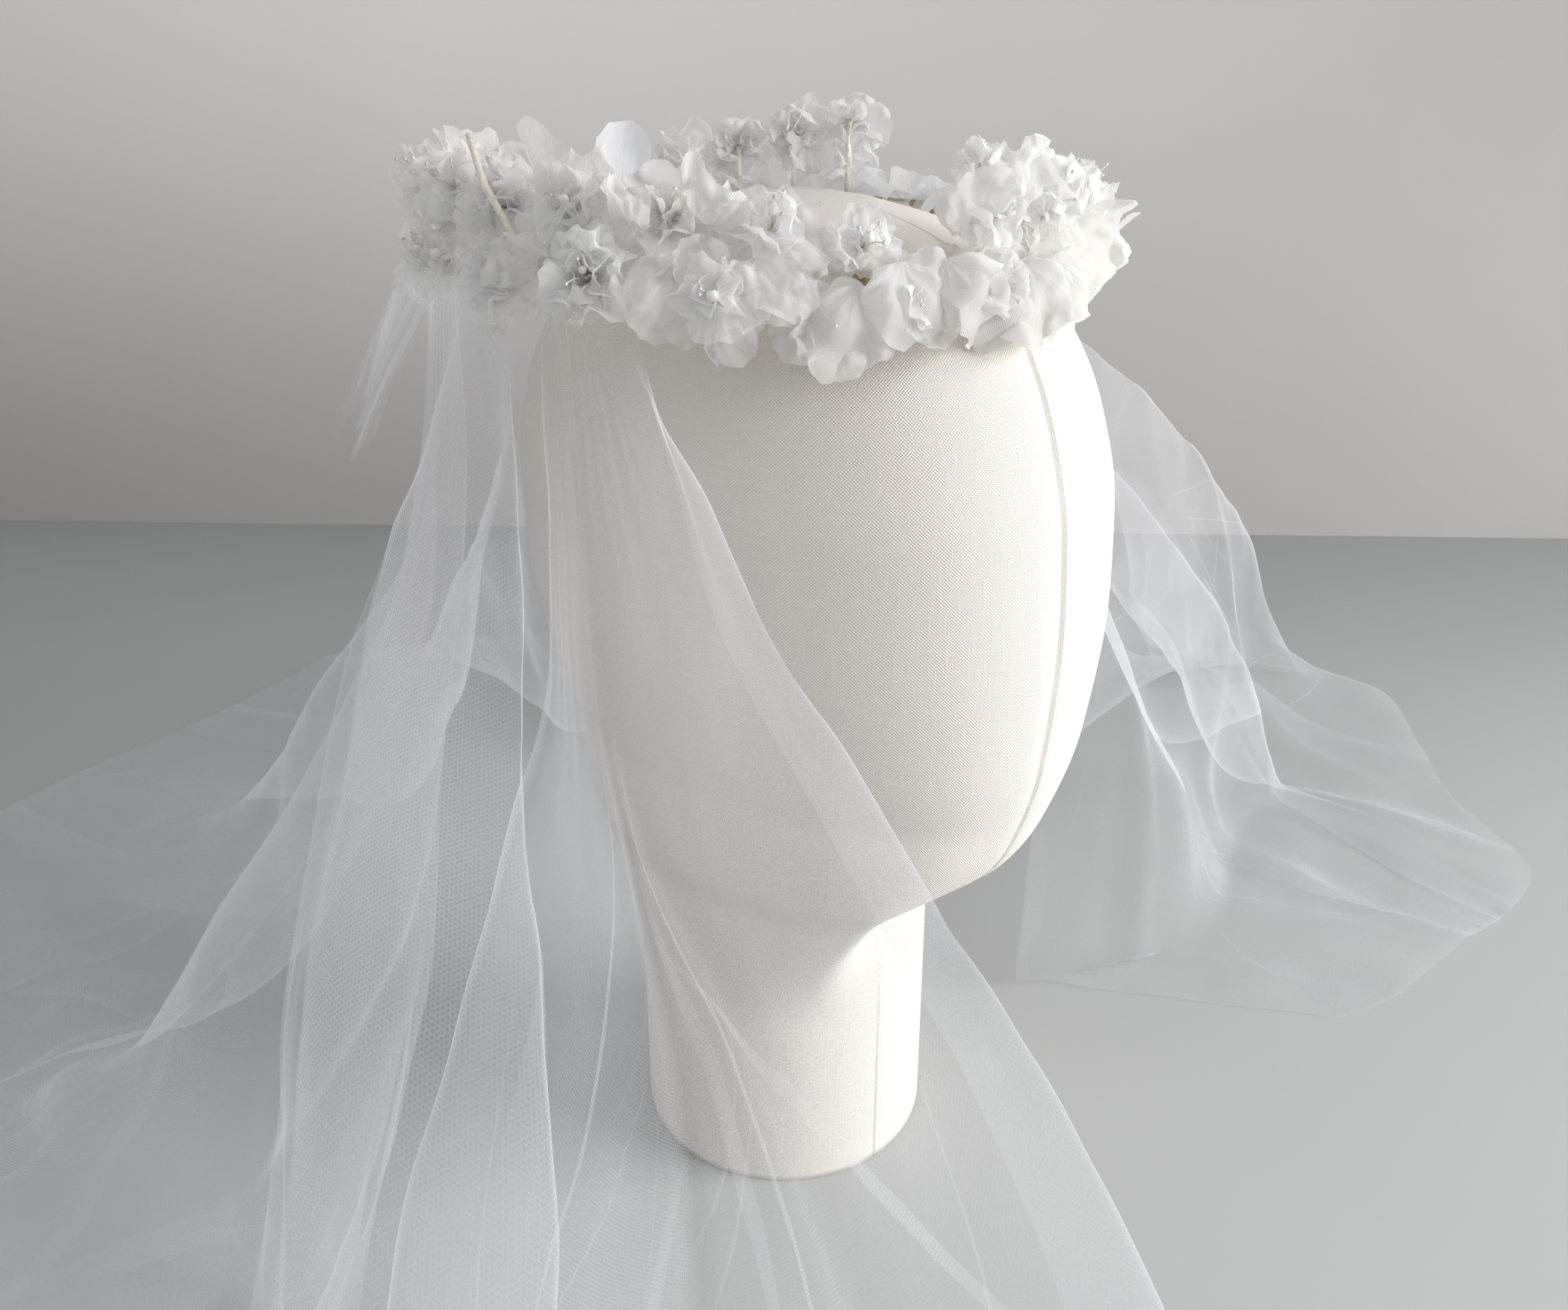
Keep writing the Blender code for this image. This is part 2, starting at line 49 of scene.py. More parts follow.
CIRCLET_BACK = 0.0135    # how far the circlet's centre lies behind the neck's
CIRCLET_HEIGHT = 0.3265
CIRCLET_RISE = 0.0030    # how much higher its back is than its middle
TAPE_RADIUS = 0.0026

HEADING_DROP = 0.0030    # from the wire's middle down to the veil's top edge
HEADING_OUT = 0.0006     # the veil's top edge outside the wire's middle
PLEAT_DEPTH = 0.0060     # between the two layers of a flat pleat
PLEAT_GATHERED = 0.7     # share of that depth at the heading
PLEAT_OPENS = 0.07       # how far below the heading it is full
ROWS_DOWN = 170          # rows of the veil from heading to hem
ROW_CROWDING = 1.25      # above 1, the rows lie closer together near the heading
COLUMN_WIDTH = 0.0040    # width of a column of the veil at its hem
NET_ON_TABLE = 0.0006    # lowest height of the net's middle
GATHER_HEIGHT = 0.0007   # of the small gathers under the heading
GATHER_WIDTHS = (0.041, 0.019)
GATHER_LENGTH = 0.09     # how far down they run out
RIPPLES = [(22, 12, 0.0032), (60, 25, 0.0010)]   # of loose net: how fine level and upright, and height
CLOTH_SLACK = 1.05       # cloth between two columns over their widest distance
CROWDED_MOST = 9.0       # times that the cloth is gathered where it counts most
CROWDED_POWER = 0.42     # how that turns into layers seen

FRILL_START = 84.0       # azimuths of the frill that covers the gathers
FRILL_END = 206.0
FRILL_WAVES = 18
FRILL_WIDTHS = [(84, .032), (96, .026), (108, .019), (122, .016), (138, .017), (154, .025), (172, .032)]
FRILL_BELOW = 0.0022     # its inner edge below the wire's middle
FRILL_DROP = 0.036       # from there down to its outer edge
FRILL_WAVE = 0.0035      # height of its waves at the outer edge
FRILL_OUT = 0.0026       # its inner edge outside the wire's middle
FRILL_LENGTH = 0.05      # the strip's own width, from gathers to ragged edge

NET_PITCH = 0.00105      # between two rows of holes of the net
NET_TINT = (0.87, 0.88, 0.91)
NET_THREADS = 0.108      # how dense the threads of one layer look
NET_HAZE = 0.010         # and how dense it looks between them
WISP_TINT = (0.93, 0.94, 0.97)
CANVAS_PITCH = 0.0009    # between two threads of the canvas
TWILL_PITCH = 0.00048    # between two diagonal lines of the satin
TAPE_TURNS = 118         # of the tape round the wire, and its steps and sides
TAPE_STEPS = 944
TAPE_SIDES = 12
TAPE_LAP = 0.14          # how much an edge of the tape stands up, as a share of its radius

# Sections of the head form, bottom to top: how far each reaches to the front,
# to the back and to either side of the neck's axis.  The chin's underside is
# flatter than the CAD's and up to 13 mm higher.
Section = namedtuple("Section", "height front back side")
HEAD_SECTIONS = [Section(*row) for row in [
    (0, .054, .054, .054),
    (.055, .0535, .0535, .0535),
    (.106, .053, .053, .053),
    (.12, .054, .0531, .054),
    (.129, .059, .0545, .056),
    (.134, .07, .0556, .0575),
    (.14, .086, .057, .059),
    (.15, .0978, .0606, .062),
    (.165, .1065, .068, .0665),
    (.195, .1148, .082, .075),
    (.23, .117, .092, .0808),
    (.26, .115, .0918, .0808),
    (.285, .1085, .0865, .0765),
    (.305, .0985, .0765, .068),
    (.32, .084, .062, .055),
    (.331, .061, .043, .04),
    (.3375, .033, .021, .02),
]]
HEAD_TOP = 0.3398
HEAD_SIDES = 240
HEAD_ROWS = 150
CROWN_ROWS = 8
HEAD_GIRTH = 0.56                 # flat width of the canvas round the head
CHIN_RIGHT = (2.0, 30.0)          # azimuths between which the chin's edge runs out, to the face's right
CHIN_LEFT = (-70.0, -110.0)       # and to its left
CHIN_HEIGHTS = (0.070, 0.175)     # between these the head then flows into the neck
SEAM_ANGLES = (0, 72, 180, 288)   # where the canvas panels are sewn together
SEAM_DEPTH = 0.0003
SEAM_WIDTH = 1.6                  # half width of its groove, in degrees
SEAM_RIDGE = 0.0002               # the seam allowance that shows through beside a seam
ALLOWANCE_AWAY = 4.2              # how far beside it, in degrees
ALLOWANCE_WIDTH = 3.2             # half width of that ridge
SEAM_BEGINS = (0.10, 0.15)        # heights between which the seams begin to show on the neck
SEAM_ENDS = (HEAD_TOP + 0.004, HEAD_TOP - 0.026)   # and between which they run out at the crown

# Folds of the veil, from its front edge at the wearer's right, round the back,
# to its front edge at the wearer's left.  Each runs from the heading over a
# shoulder and a knee to where it lands on the table and on to the hem, given
# as (azimuth, distance from the neck's axis, height).  Layer tells how a flat
# pleat turns there: the cloth goes on one layer in (1), or comes from one (-1).
Fold = namedtuple("Fold", "name heading shoulder knee landing hem layer", defaults=[0])
FOLDS = [Fold(*row) for row in [
    ("right_edge", 56, (44, .146, .264), (28, .254, .189), (27, .405, .008), (28, .465, .008)),
    ("right_edge_turn", 61, (42, .135, .268), (24, .257, .184), (21, .402, .0085), (21, .47, .008), 1),
    ("temple_valley", 66, (67, .103, .222), (52, .124, .117), (45, .171, .002), (33, .4, .0006)),
    ("pleat_inner_turn", 71, (64, .13, .236), (55, .243, .172), (49, .39, .007), (47, .444, .007), -1),
    ("pleat_front_turn", 78, (62, .146, .238), (47, .252, .181), (42, .402, .014), (40, .462, .014), -1),
    ("pleat_back_edge", 87, (75, .157, .252), (56.5, .262, .184), (48, .397, .014), (47, .455, .012)),
    ("side_valley", 93, (93, .114, .22), (91, .15, .09), (89, .202, .003), (80, .44, .0006)),
    ("side_ridge", 104, (117, .124, .226), (119, .196, .112), (118, .284, .017), (113, .452, .006)),
    ("back_side_valley", 116, (136, .125, .21), (142, .183, .08), (142, .25, .0025), (134, .447, .0006)),
    ("back_side_ridge", 128, (152, .146, .228), (156, .238, .122), (157, .345, .024), (153, .47, .008)),
    ("back_right_valley", 141, (163, .145, .21), (169, .22, .08), (171, .31, .003), (166, .485, .0006)),
    ("back_arch", 153, (175, .168, .236), (182, .298, .128), (183, .412, .034), (180, .5, .01)),
    ("back_valley", 166, (187, .15, .208), (192, .248, .07), (194, .335, .002), (195, .492, .0006)),
    ("back_ridge", 179, (199, .17, .236), (208, .286, .118), (209, .378, .02), (209, .496, .006)),
    ("back_left_valley", 192, (212, .152, .208), (219, .236, .07), (220, .306, .002), (222, .468, .0006)),
    ("back_left_ridge", 205, (229, .168, .244), (235, .286, .126), (236, .384, .02), (237, .5, .006)),
    ("left_back_valley", 216, (241, .154, .226), (247, .262, .098), (249, .326, .003), (248, .478, .0006)),
    ("left_back_fold", 228, (253, .265, .25), (258, .445, .115), (260, .5, .026), (265, .53, .006)),
    ("left_valley", 240, (257, .168, .212), (264, .285, .09), (266, .36, .003), (278, .44, .0006)),
    ("left_fold", 252, (265, .2, .214), (270, .3, .101), (271, .354, .012), (288, .404, .005)),
    ("left_fold_under", 260, (267, .186, .156), (270, .246, .07), (271, .318, .003), (291, .368, .0006)),
    ("cheek_fold", 269, (281, .148, .168), (284, .182, .094), (285, .216, .01), (294, .322, .005)),
    ("cheek_valley", 277, (284, .126, .15), (284, .142, .066), (283, .168, .002), (298, .276, .0006)),
    ("left_edge", 284, (286, .112, .2), (283, .113, .08), (280, .118, .003), (300, .242, .0006)),
]]

# The stretches of the veil between these folds, one for each of its solids.
STRETCH_ENDS = [
    ("veil_right_edge", "right_edge", "temple_valley"),
    ("veil_right_pleat", "temple_valley", "side_valley"),
    ("veil_right_side", "side_valley", "back_right_valley"),
    ("veil_back_right", "back_right_valley", "back_valley"),
    ("veil_back", "back_valley", "back_left_ridge"),
    ("veil_back_left", "back_left_ridge", "left_valley"),
    ("veil_left_side", "left_valley", "left_edge"),
]

# Soft creases of the net: from one fold at a distance below the heading to
# another fold at another distance, with the crease's width and height.
Crease = namedtuple("Crease", "start start_down end end_down width height")
CREASES = [Crease(*row) for row in [
    ("temple_valley", .10, "right_edge_turn", .52, .010, .0030),
    ("temple_valley", .05, "temple_valley", .50, .008, -.0030),
    ("pleat_front_turn", .26, "pleat_back_edge", .60, .008, .0030),
    ("pleat_back_edge", .20, "pleat_front_turn", .58, .009, -.0025),
    ("pleat_back_edge", .08, "side_valley", .55, .012, .0060),
    ("side_valley", .16, "side_ridge", .58, .012, .0050),
    ("side_ridge", .10, "side_valley", .44, .010, -.0040),
    ("side_valley", .30, "back_side_valley", .38, .014, .0060),
    ("side_ridge", .34, "back_side_ridge", .56, .012, .0055),
    ("back_side_valley", .12, "side_ridge", .52, .010, .0045),
    ("back_side_ridge", .30, "side_ridge", .46, .012, -.0050),
    ("back_side_ridge", .16, "back_right_valley", .50, .012, .0050),
    ("back_right_valley", .24, "back_arch", .55, .010, .0045),
    ("back_arch", .12, "back_valley", .48, .012, .0045),
    ("back_valley", .28, "back_ridge", .56, .010, .0045),
    ("back_ridge", .14, "back_left_valley", .46, .012, -.0045),
    ("back_left_valley", .22, "back_left_ridge", .56, .010, .0050),
    ("back_left_ridge", .12, "left_back_valley", .46, .012, .0050),
    ("left_back_valley", .20, "left_back_fold", .54, .011, .0055),
    ("left_back_fold", .30, "left_valley", .50, .012, .0055),
    ("left_valley", .14, "left_fold", .48, .010, -.0045),
    ("left_fold", .26, "cheek_fold", .48, .010, .0045),
    ("cheek_fold", .16, "cheek_valley", .40, .008, .0040),
]]

# How many times thicker the net looks at a fold and just before the next, where
# more of it lies folded over than the folds above show; 1 where none is given.
SPAN_LAYERS = {
    "right_edge": (1.3, 1.3), "right_edge_turn": (.8, .8), "temple_valley": (1.7, .5),
    "pleat_inner_turn": (.2, .2), "pleat_front_turn": (1.5, 3.4), "pleat_back_edge": (.2, .3),
    "side_valley": (1.3, 1.6), "side_ridge": (1.1, 1.1), "left_back_fold": (.8, .8),
    "left_valley": (.8, .8), "left_fold": (1.1, 1.1), "cheek_fold": (1.1, 1.1),
}
THIN_HEADING = (0.60, 0.30)   # the net looks this much thinner at the heading, and as full as it is by here
# Strips of net that lies doubled: how many, how far below the heading they start,
# how far they run down and drift across, half their width, how dense they are,
# and how that is spread across them.
Strip = namedtuple("Strip", "count top drop drift half weight fill")
STRIPS = [
    Strip(190, (.16, .46), (.05, .18), .14, (.0005, .0014), (.3, 1.3), (.2, 1.0, .2)),
    Strip(58, (.14, .42), (.1, .26), .14, (.006, .03), (.4, .85), (2.0, 1.0, .8, .8, .6)),
]
# Laps that the photo shows: from one fold at a distance below the heading some
# way towards another, down to a second distance; half their width and density.
Lap = namedtuple("Lap", "start start_down towards reach end_down half weight")
LAPS = [Lap(*row) for row in [
    ("temple_valley", .12, "right_edge_turn", .34, .31, .0016, 2.6),
    ("temple_valley", .15, "right_edge_turn", .2, .3, .006, 1.3),
    ("temple_valley", .175, "right_edge_turn", .85, .262, .008, 1.5),
    ("temple_valley", .24, "pleat_inner_turn", .45, .36, .006, 1.1),
    ("temple_valley", .1, "pleat_inner_turn", .6, .27, .002, 1.6),
    ("pleat_front_turn", .16, "pleat_back_edge", .75, .4, .005, .9),
    ("side_valley", .2, "side_ridge", .8, .46, .012, 1.2),
    ("side_valley", .26, "side_ridge", .45, .5, .009, 1.0),
    ("side_ridge", .24, "side_valley", .6, .44, .008, 1.2),
    ("side_ridge", .3, "side_valley", .35, .5, .0025, 1.6),
]]
LAP_FILL = (0.8, 1.0, 0.8)
LIFT = 0.0004            # from the net to the strips that lie on it
LINE_POINTS = 28

# Blossoms on the circlet: azimuth, distance out from the wire and up from it,
# width, how far it faces up and to the side, its turn about its own axis, its
# number of petals, and what its petals are made of.
Blossom = namedtuple("Blossom", "azimuth out up width facing swing turn petals silk")
BLOSSOMS = [Blossom(*row) for row in [
    (18, .017, -.002, .019, 12, 0, 30, 5, "satin"),
    (29, .0165, -.0085, .0205, 4, 0, 5, 5, "satin"),
    (42, .0185, -.0015, .0215, 14, 0, 50, 5, "organza"),
    (56, .02, .002, .0245, 20, 0, 60, 6, "ruffled"),
    (6.5, .017, -.002, .0205, 14, 0, 40, 6, "satin"),
    (355, .013, -.0045, .019, 14, 12, 15, 5, "satin"),
    (24, .012, .009, .018, 34, 0, 20, 5, "organza"),
    (35, .009, .013, .024, 38, 0, 45, 5, "organza"),
    (48, .008, .015, .024, 42, 0, 35, 5, "satin"),
    (61, .008, .0155, .024, 42, 0, 0, 5, "ruffled"),
    (73.5, .006, .015, .023, 42, -6, 40, 5, "ruffled"),
    (86, .0025, .0155, .023, 44, -10, 15, 5, "ruffled"),
    (99, -.0005, .015, .021, 46, -16, 55, 5, "ruffled"),
    (112, -.001, .015, .021, 54, -10, 25, 5, "organza"),
    (125.5, -.0005, .0155, .022, 56, 0, 45, 5, "ruffled"),
    (139, .0005, .0155, .022, 56, 0, 5, 5, "satin"),
    (153, .0015, .014, .021, 56, 0, 30, 5, "organza"),
    (201, .003, .015, .023, 56, 0, 12, 5, "organza"),
    (213, .0045, .019, .023, 50, 0, 48, 5, "ruffled"),
    (225, .0045, .0235, .024, 46, 0, 22, 5, "ruffled"),
    (237, .005, .0285, .023, 42, 0, 20, 5, "satin"),
    (269, .0035, .0155, .022, 55, 0, 0, 5, "ruffled"),
    (283, .0035, .016, .022, 52, 0, 50, 5, "satin"),
    (297, .0025, .015, .022, 48, 8, 25, 5, "satin"),
    (311, .002, .0145, .022, 44, 14, 10, 5, "ruffled"),
    (350, .005, .015, .023, 42, 10, 40, 5, "organza"),
    (3.5, .007, .0155, .023, 42, 4, 20, 5, "satin"),
    (70.5, .0155, -.001, .021, 22, -4, 35, 5, "ruffled"),
    (83, .0115, 0, .018, 26, -10, 10, 5, "organza"),
    (94, .0075, 0, .014, 26, -16, 30, 5, "ruffled"),
]]

# Single petals: azimuth, distance out and up of the root, length, width, the
# angle at which the petal leaves its root above level, and how far it curls.
Petal = namedtuple("Petal", "name azimuth out up length width rise curl silk")
PETALS = [
    Petal("petal_back_round", 186, 0, .0031, .023, .024, 72, 12, "matt"),
    Petal("petal_leaf_right", 171, .0004, .0033, .03, .013, 50, 8, "organza"),
    Petal("petal_leaf_left", 330, .0028, .0005, .019, .011, 32, 6, "organza"),
]

# How each kind of blossom is made.  Each ring of petals has a count beyond the
# blossom's own, a size as a share of the flower's radius and how far it opens
# from the flower's axis, in degrees.
Ring = namedtuple("Ring", "more size opening")
# Petals are broader than long below a taper of 1; cup, ruffle, groove, crumple
# and fray are heights as shares of the petal's length.
Kind = namedtuple("Kind", "rings taper cup ruffle groove crumple fray pearls stamens")
KINDS = {
    "satin": Kind([Ring(0, 1.18, 84), Ring(-1, .94, 60), Ring(-2, .62, 26)],
                  .6, .16, .07, .022, .3, .018, 0, 1),
    "organza": Kind([Ring(0, 1.14, 80), Ring(-1, .98, 50), Ring(-2, .7, 20)],
                    .66, .2, .13, .016, .42, .03, 1, 3),
    "ruffled": Kind([Ring(2, 1.08, 86), Ring(1, .94, 62), Ring(1, .78, 38), Ring(-1, .56, 12)],
                    .62, .12, .2, .024, .46, .055, 1, 2),
}
SMOOTH_PETAL = Kind([], 1.0, .1, .02, .008, .08, .004, 0, 0)
FILLERS = 6              # loose petals beside each blossom that hide the tape

# Loose petals tacked on beside a blossom: its number, the root's azimuth and
# distance out and up, the petal's length, its lean from straight down towards
# higher azimuths, how far its tip stands out, its roll, and its silk.
Loose = namedtuple("Loose", "blossom azimuth out up length lean tip roll silk")
LOOSE = [Loose(*row) for row in [
    (2, 25.5, .018, .001, .0205, 2, 14, 8, "satin"),
    (2, 33.0, .015, .006, .016, 40, 20, -15, "satin"),
    (1, 20.0, .0175, .006, .019, -4, 16, 12, "satin"),
    (1, 14.5, .0175, .006, .0175, -22, 18, -14, "satin"),
    (3, 45.0, .0185, .008, .02, 8, 10, 16, "organza"),
    (3, 41.5, .018, .006, .018, -14, 12, -10, "organza"),
    (3, 36.5, .0165, .008, .017, -48, 24, 10, "organza"),
    (5, 7.5, .017, .005, .02, 14, 16, 6, "satin"),
    (5, 2.0, .0165, .004, .0195, -8, 18, -12, "satin"),
    (6, 355.0, .014, .005, .019, -20, 20, 10, "satin"),
    (27, 8.0, .008, .012, .015, 165, 26, 20, "satin"),
    (27, 1.0, .008, .016, .0175, -160, 20, -24, "organza"),
    (4, 62.0, .015, .003, .017, 70, 20, 20, "ruffled"),
    (10, 52.0, .012, .012, .013, 175, 34, 30, "satin"),
    (9, 42.0, .012, .013, .012, -150, 40, -20, "satin"),
    (21, 246.0, .001, .006, .023, 84, 4, 70, "organza"),
    (21, 250.0, -.001, .005, .021, -96, 10, 60, "matt"),
    (22, 258.0, .001, .006, .022, 96, 6, 65, "organza"),
    (22, 262.0, 0, .005, .02, -84, 8, -60, "matt"),
    (21, 240.0, .004, .013, .017, -20, 30, 20, "organza"),
    (21, 236.0, .004, .02, .016, 40, 30, -30, "organza"),
    (26, 343.0, .004, .006, .02, -70, 30, 20, "satin"),
    (25, 322.0, .003, .006, .019, 60, 30, 20, "ruffled"),
    (13, 104.0, .002, .006, .019, -30, 20, 20, "organza"),
    (13, 97.0, .006, .004, .019, 10, 20, -20, "organza"),
]]
TWIG = (11, (81, .004, .029), (73, .012, .019), (65, .018, .006))   # blossom, then points on it
SILKS = ("satin", "organza", "ruffled", "matt")   # a blossom's first finishes, then these two
PEARL, STAMEN = 4, 5

# The camera: its place from the head's base in a frame turned so that +Y is
# its own level heading, how far it looks down, and its focal length in pixels.
PHOTO_WIDTH = 2100
VIEW_TURN = 38.0
CAMERA_PLACE = (0.0, -0.388, 0.363)
CAMERA_PITCH = 24.27
FOCAL_PIXELS = 1650
SENSOR_WIDTH = 36.0
WALL_AWAY = 0.70         # from the head's axis to the wall behind it
WALL_TURN = -2.1
STAGE_HALF = 3.0         # half width of the table and the wall
TABLE_ENDS = (-3.0, WALL_AWAY + 0.3)
TABLE_PAINTED_SHADE_START = -0.3       # the table's tones of painted shade start here and end a metre further away
WALL_PAINTED_SHADE_TOP = 0.5         # the wall's tones of painted light and shade end at this height
WALL_HEIGHT = 2.5
TABLE_PAINTED_SHADE_SPAN = (-0.75, 0.75)   # the left and right tones of the painted shade lie this far from the middle
WALL_PAINTED_SHADE_SPAN = (-0.45, 0.75)
Light = namedtuple("Light", "name place target size power colour")
LIGHTS = [
    Light("window", (1.20, -0.28, 0.55), (0.0, 0.0, 0.20), 0.8, 22.0, (1.0, 0.99, 0.98)),
    Light("room", (-0.6, -1.2, 1.3), (0.0, 0.0, 0.15), 1.4, 4.0, (0.95, 0.97, 1.0)),
    Light("ceiling", (-0.25, 0.10, 1.35), (0.0, 0.0, 0.30), 1.2, 1.5, (0.98, 0.98, 1.0)),
]
SKY_COLOUR = (0.965, 0.95, 0.94, 1.0)
SKY_STRENGTH = 0.45

UP = np.array([0.0, 0.0, 1.0])
ALL_ROUND = 2 * math.pi


# ---------------------------------------------------------------- helpers
def outward(azimuth):
    """Level unit vector pointing away from the Z axis at this azimuth."""
    angle = math.radians(azimuth)
    return np.array([-math.sin(angle), -math.cos(angle), 0.0])


def polar(azimuth, radius, height):
    return outward(azimuth) * radius + UP * height


def on_circlet(azimuth, out=0.0, up=0.0):
    """A point beside the middle of the circlet's wire."""
    tilt = -CIRCLET_RISE * math.cos(math.radians(azimuth))
    centre = np.array([0.0, CIRCLET_BACK, CIRCLET_HEIGHT + tilt + up])
    return centre + outward(azimuth) * (CIRCLET_RADIUS + out)


def in_view(x, y, z):
    """A place given from the camera's side: x to its right, y away from it."""
    turn = math.radians(VIEW_TURN)
    return Vector((x * math.cos(turn) + y * math.sin(turn), -x * math.sin(turn) + y * math.cos(turn), z))


def hermite(t, start, end, lead, tail):
    """A cubic curve between two points that leaves and arrives along these vectors."""
    return ((2 * t**3 - 3 * t**2 + 1) * start + (t**3 - 2 * t**2 + t) * lead
            + (3 * t**2 - 2 * t**3) * end + (t**3 - t**2) * tail)


def smooth_run(knots, values, at):
    """Values at the places given, on a smooth curve that never overshoots its knots."""
    step = np.diff(knots)
    slope = np.diff(values, axis=0) / step[:, None]
    tangent = np.zeros_like(values)
    tangent[0] = slope[0]
    tangent[-1] = slope[-1]
    before, after = slope[:-1], slope[1:]
    same_way = before * after > 0
    weight = 2.0 * before * after / np.where(same_way, before + after, 1.0)
    tangent[1:-1] = np.where(same_way, weight, 0.0)
    span = np.clip(np.searchsorted(knots, at, side="right") - 1, 0, len(step) - 1)
    width = step[span][:, None]
    t = ((at - knots[span])[:, None]) / width
    return hermite(t, values[span], values[span + 1], tangent[span] * width, tangent[span + 1] * width)


def eased(value, span):
    """How far a value has come through a span, as a share that leaves and arrives gently."""
    start, end = span
    held = min(max((value - start) / (end - start), 0.0), 1.0)
    return held * held * (3 - 2 * held)


def chords(points):
    """Running distance along a line of points."""
    steps = np.linalg.norm(np.diff(points, axis=0), axis=1)
    return np.concatenate([[0.0], np.cumsum(steps)])


def unit(vectors):
    return vectors / np.linalg.norm(vectors, axis=-1, keepdims=True)


def heading_along(grid, axis):
    """Unit direction of a grid's lines at each point."""
    lines = np.moveaxis(grid, axis, 0)
    steps = unit(np.diff(lines, axis=0))
    flow = np.concatenate([steps[:1], steps[:-1] + steps[1:], steps[-1:]])
    return np.moveaxis(unit(flow), 0, axis)


def grid_normals(grid):
    return unit(np.cross(heading_along(grid, 1), heading_along(grid, 0)))


def grid_faces(rows, columns, closed=False, first=0):
    """Quads of a grid of points, closed round its columns if asked."""
    faces = []
    for i in range(rows - 1):
        for j in range(columns if closed else columns - 1):
            a, b = i * columns + j, i * columns + (j + 1) % columns
            faces.append((first + a, first + b, first + b + columns, first + a + columns))
    return faces


def fan(first, sides, tip):
    """Triangles between a closed ring of points and a tip."""
    return [(first + k, first + (k + 1) % sides, tip) for k in range(sides)]


def put_in_scene(name, data):
    made = bpy.data.objects.new(name, data)
    bpy.context.scene.collection.objects.link(made)
    return made


def add_piece(name, node, points, faces, finishes, flat=None, layers=None, which=None):
    """A mesh object that rides with the part in place of a CAD node.

    Flat holds each point's place in the cloth, in metres, layers how dense the
    net looks there, and which the number of each face's finish.
    """
    mesh = bpy.data.meshes.new(name)
    mesh.from_pydata([tuple(map(float, p)) for p in points], [], faces)
    for finish in finishes:
        mesh.materials.append(finish)
    if flat is not None:
        corners = np.zeros(len(mesh.loops), dtype=np.int32)
        mesh.loops.foreach_get("vertex_index", corners)
        places = np.asarray(flat, dtype=np.float32)[corners]
        mesh.uv_layers.new(name="cloth").data.foreach_set("uv", places.ravel())
    if layers is not None:
        values = np.asarray(layers, dtype=np.float32)
        mesh.attributes.new("layers", "FLOAT", "POINT").data.foreach_set("value", values)
    if which is not None:
        mesh.polygons.foreach_set("material_index", which)
    mesh.shade_smooth()
    made = put_in_scene(name, mesh)
    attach(made, "root")
    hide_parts(node)
    return made


def tube(line, radii, sides):
    """Points and faces of a round rod along a line, closed at both ends."""
    line = [Vector(map(float, p)) for p in line]
    points, faces = [], []
    for i, here in enumerate(line):
        ahead = (line[min(i + 1, len(line) - 1)] - line[max(i - 1, 0)]).normalized()
        side = ahead.cross(Vector((0.13, 0.21, 0.97))).normalized()
        over = ahead.cross(side)
        for k in range(sides):
            angle = ALL_ROUND * k / sides
            points.append(here + (side * math.cos(angle) + over * math.sin(angle)) * radii[i])
    faces += grid_faces(len(line), sides, closed=True)
    faces.append(tuple(range(sides))[::-1])
    faces.append(tuple(range(len(points) - sides, len(points))))
    return points, faces


def ball(centre, radius, rows=6, sides=10):
    """Points and faces of a small round bead."""
    points, faces = [], []
    for i in range(1, rows):
        polar_angle = math.pi * i / rows
        for k in range(sides):
            angle = ALL_ROUND * k / sides
            level = radius * math.sin(polar_angle)
            offset = (level * math.cos(angle), level * math.sin(angle), radius * math.cos(polar_angle))
            points.append(centre + np.array(offset))
    faces += grid_faces(rows - 1, sides, closed=True)
    for height, first in ((radius, 0), (-radius, (rows - 2) * sides)):
        points.append(centre + UP * height)
        faces += fan(first, sides, len(points) - 1)
    return points, faces


class Heap:
    """Several small forms gathered into one mesh, each with its own material."""

    def __init__(self):
        self.points, self.faces, self.slots, self.flat = [], [], [], []

    def add(self, points, faces, slot, flat=None):
        first = len(self.points)
        self.points += list(points)
        self.faces += [tuple(first + v for v in face) for face in faces]
        self.slots += [slot] * len(faces)
        self.flat += list(flat) if flat is not None else [(p[0], p[2]) for p in points]

    def make(self, name, node, finishes):
        add_piece(name, node, self.points, self.faces, finishes, self.flat, which=self.slots)


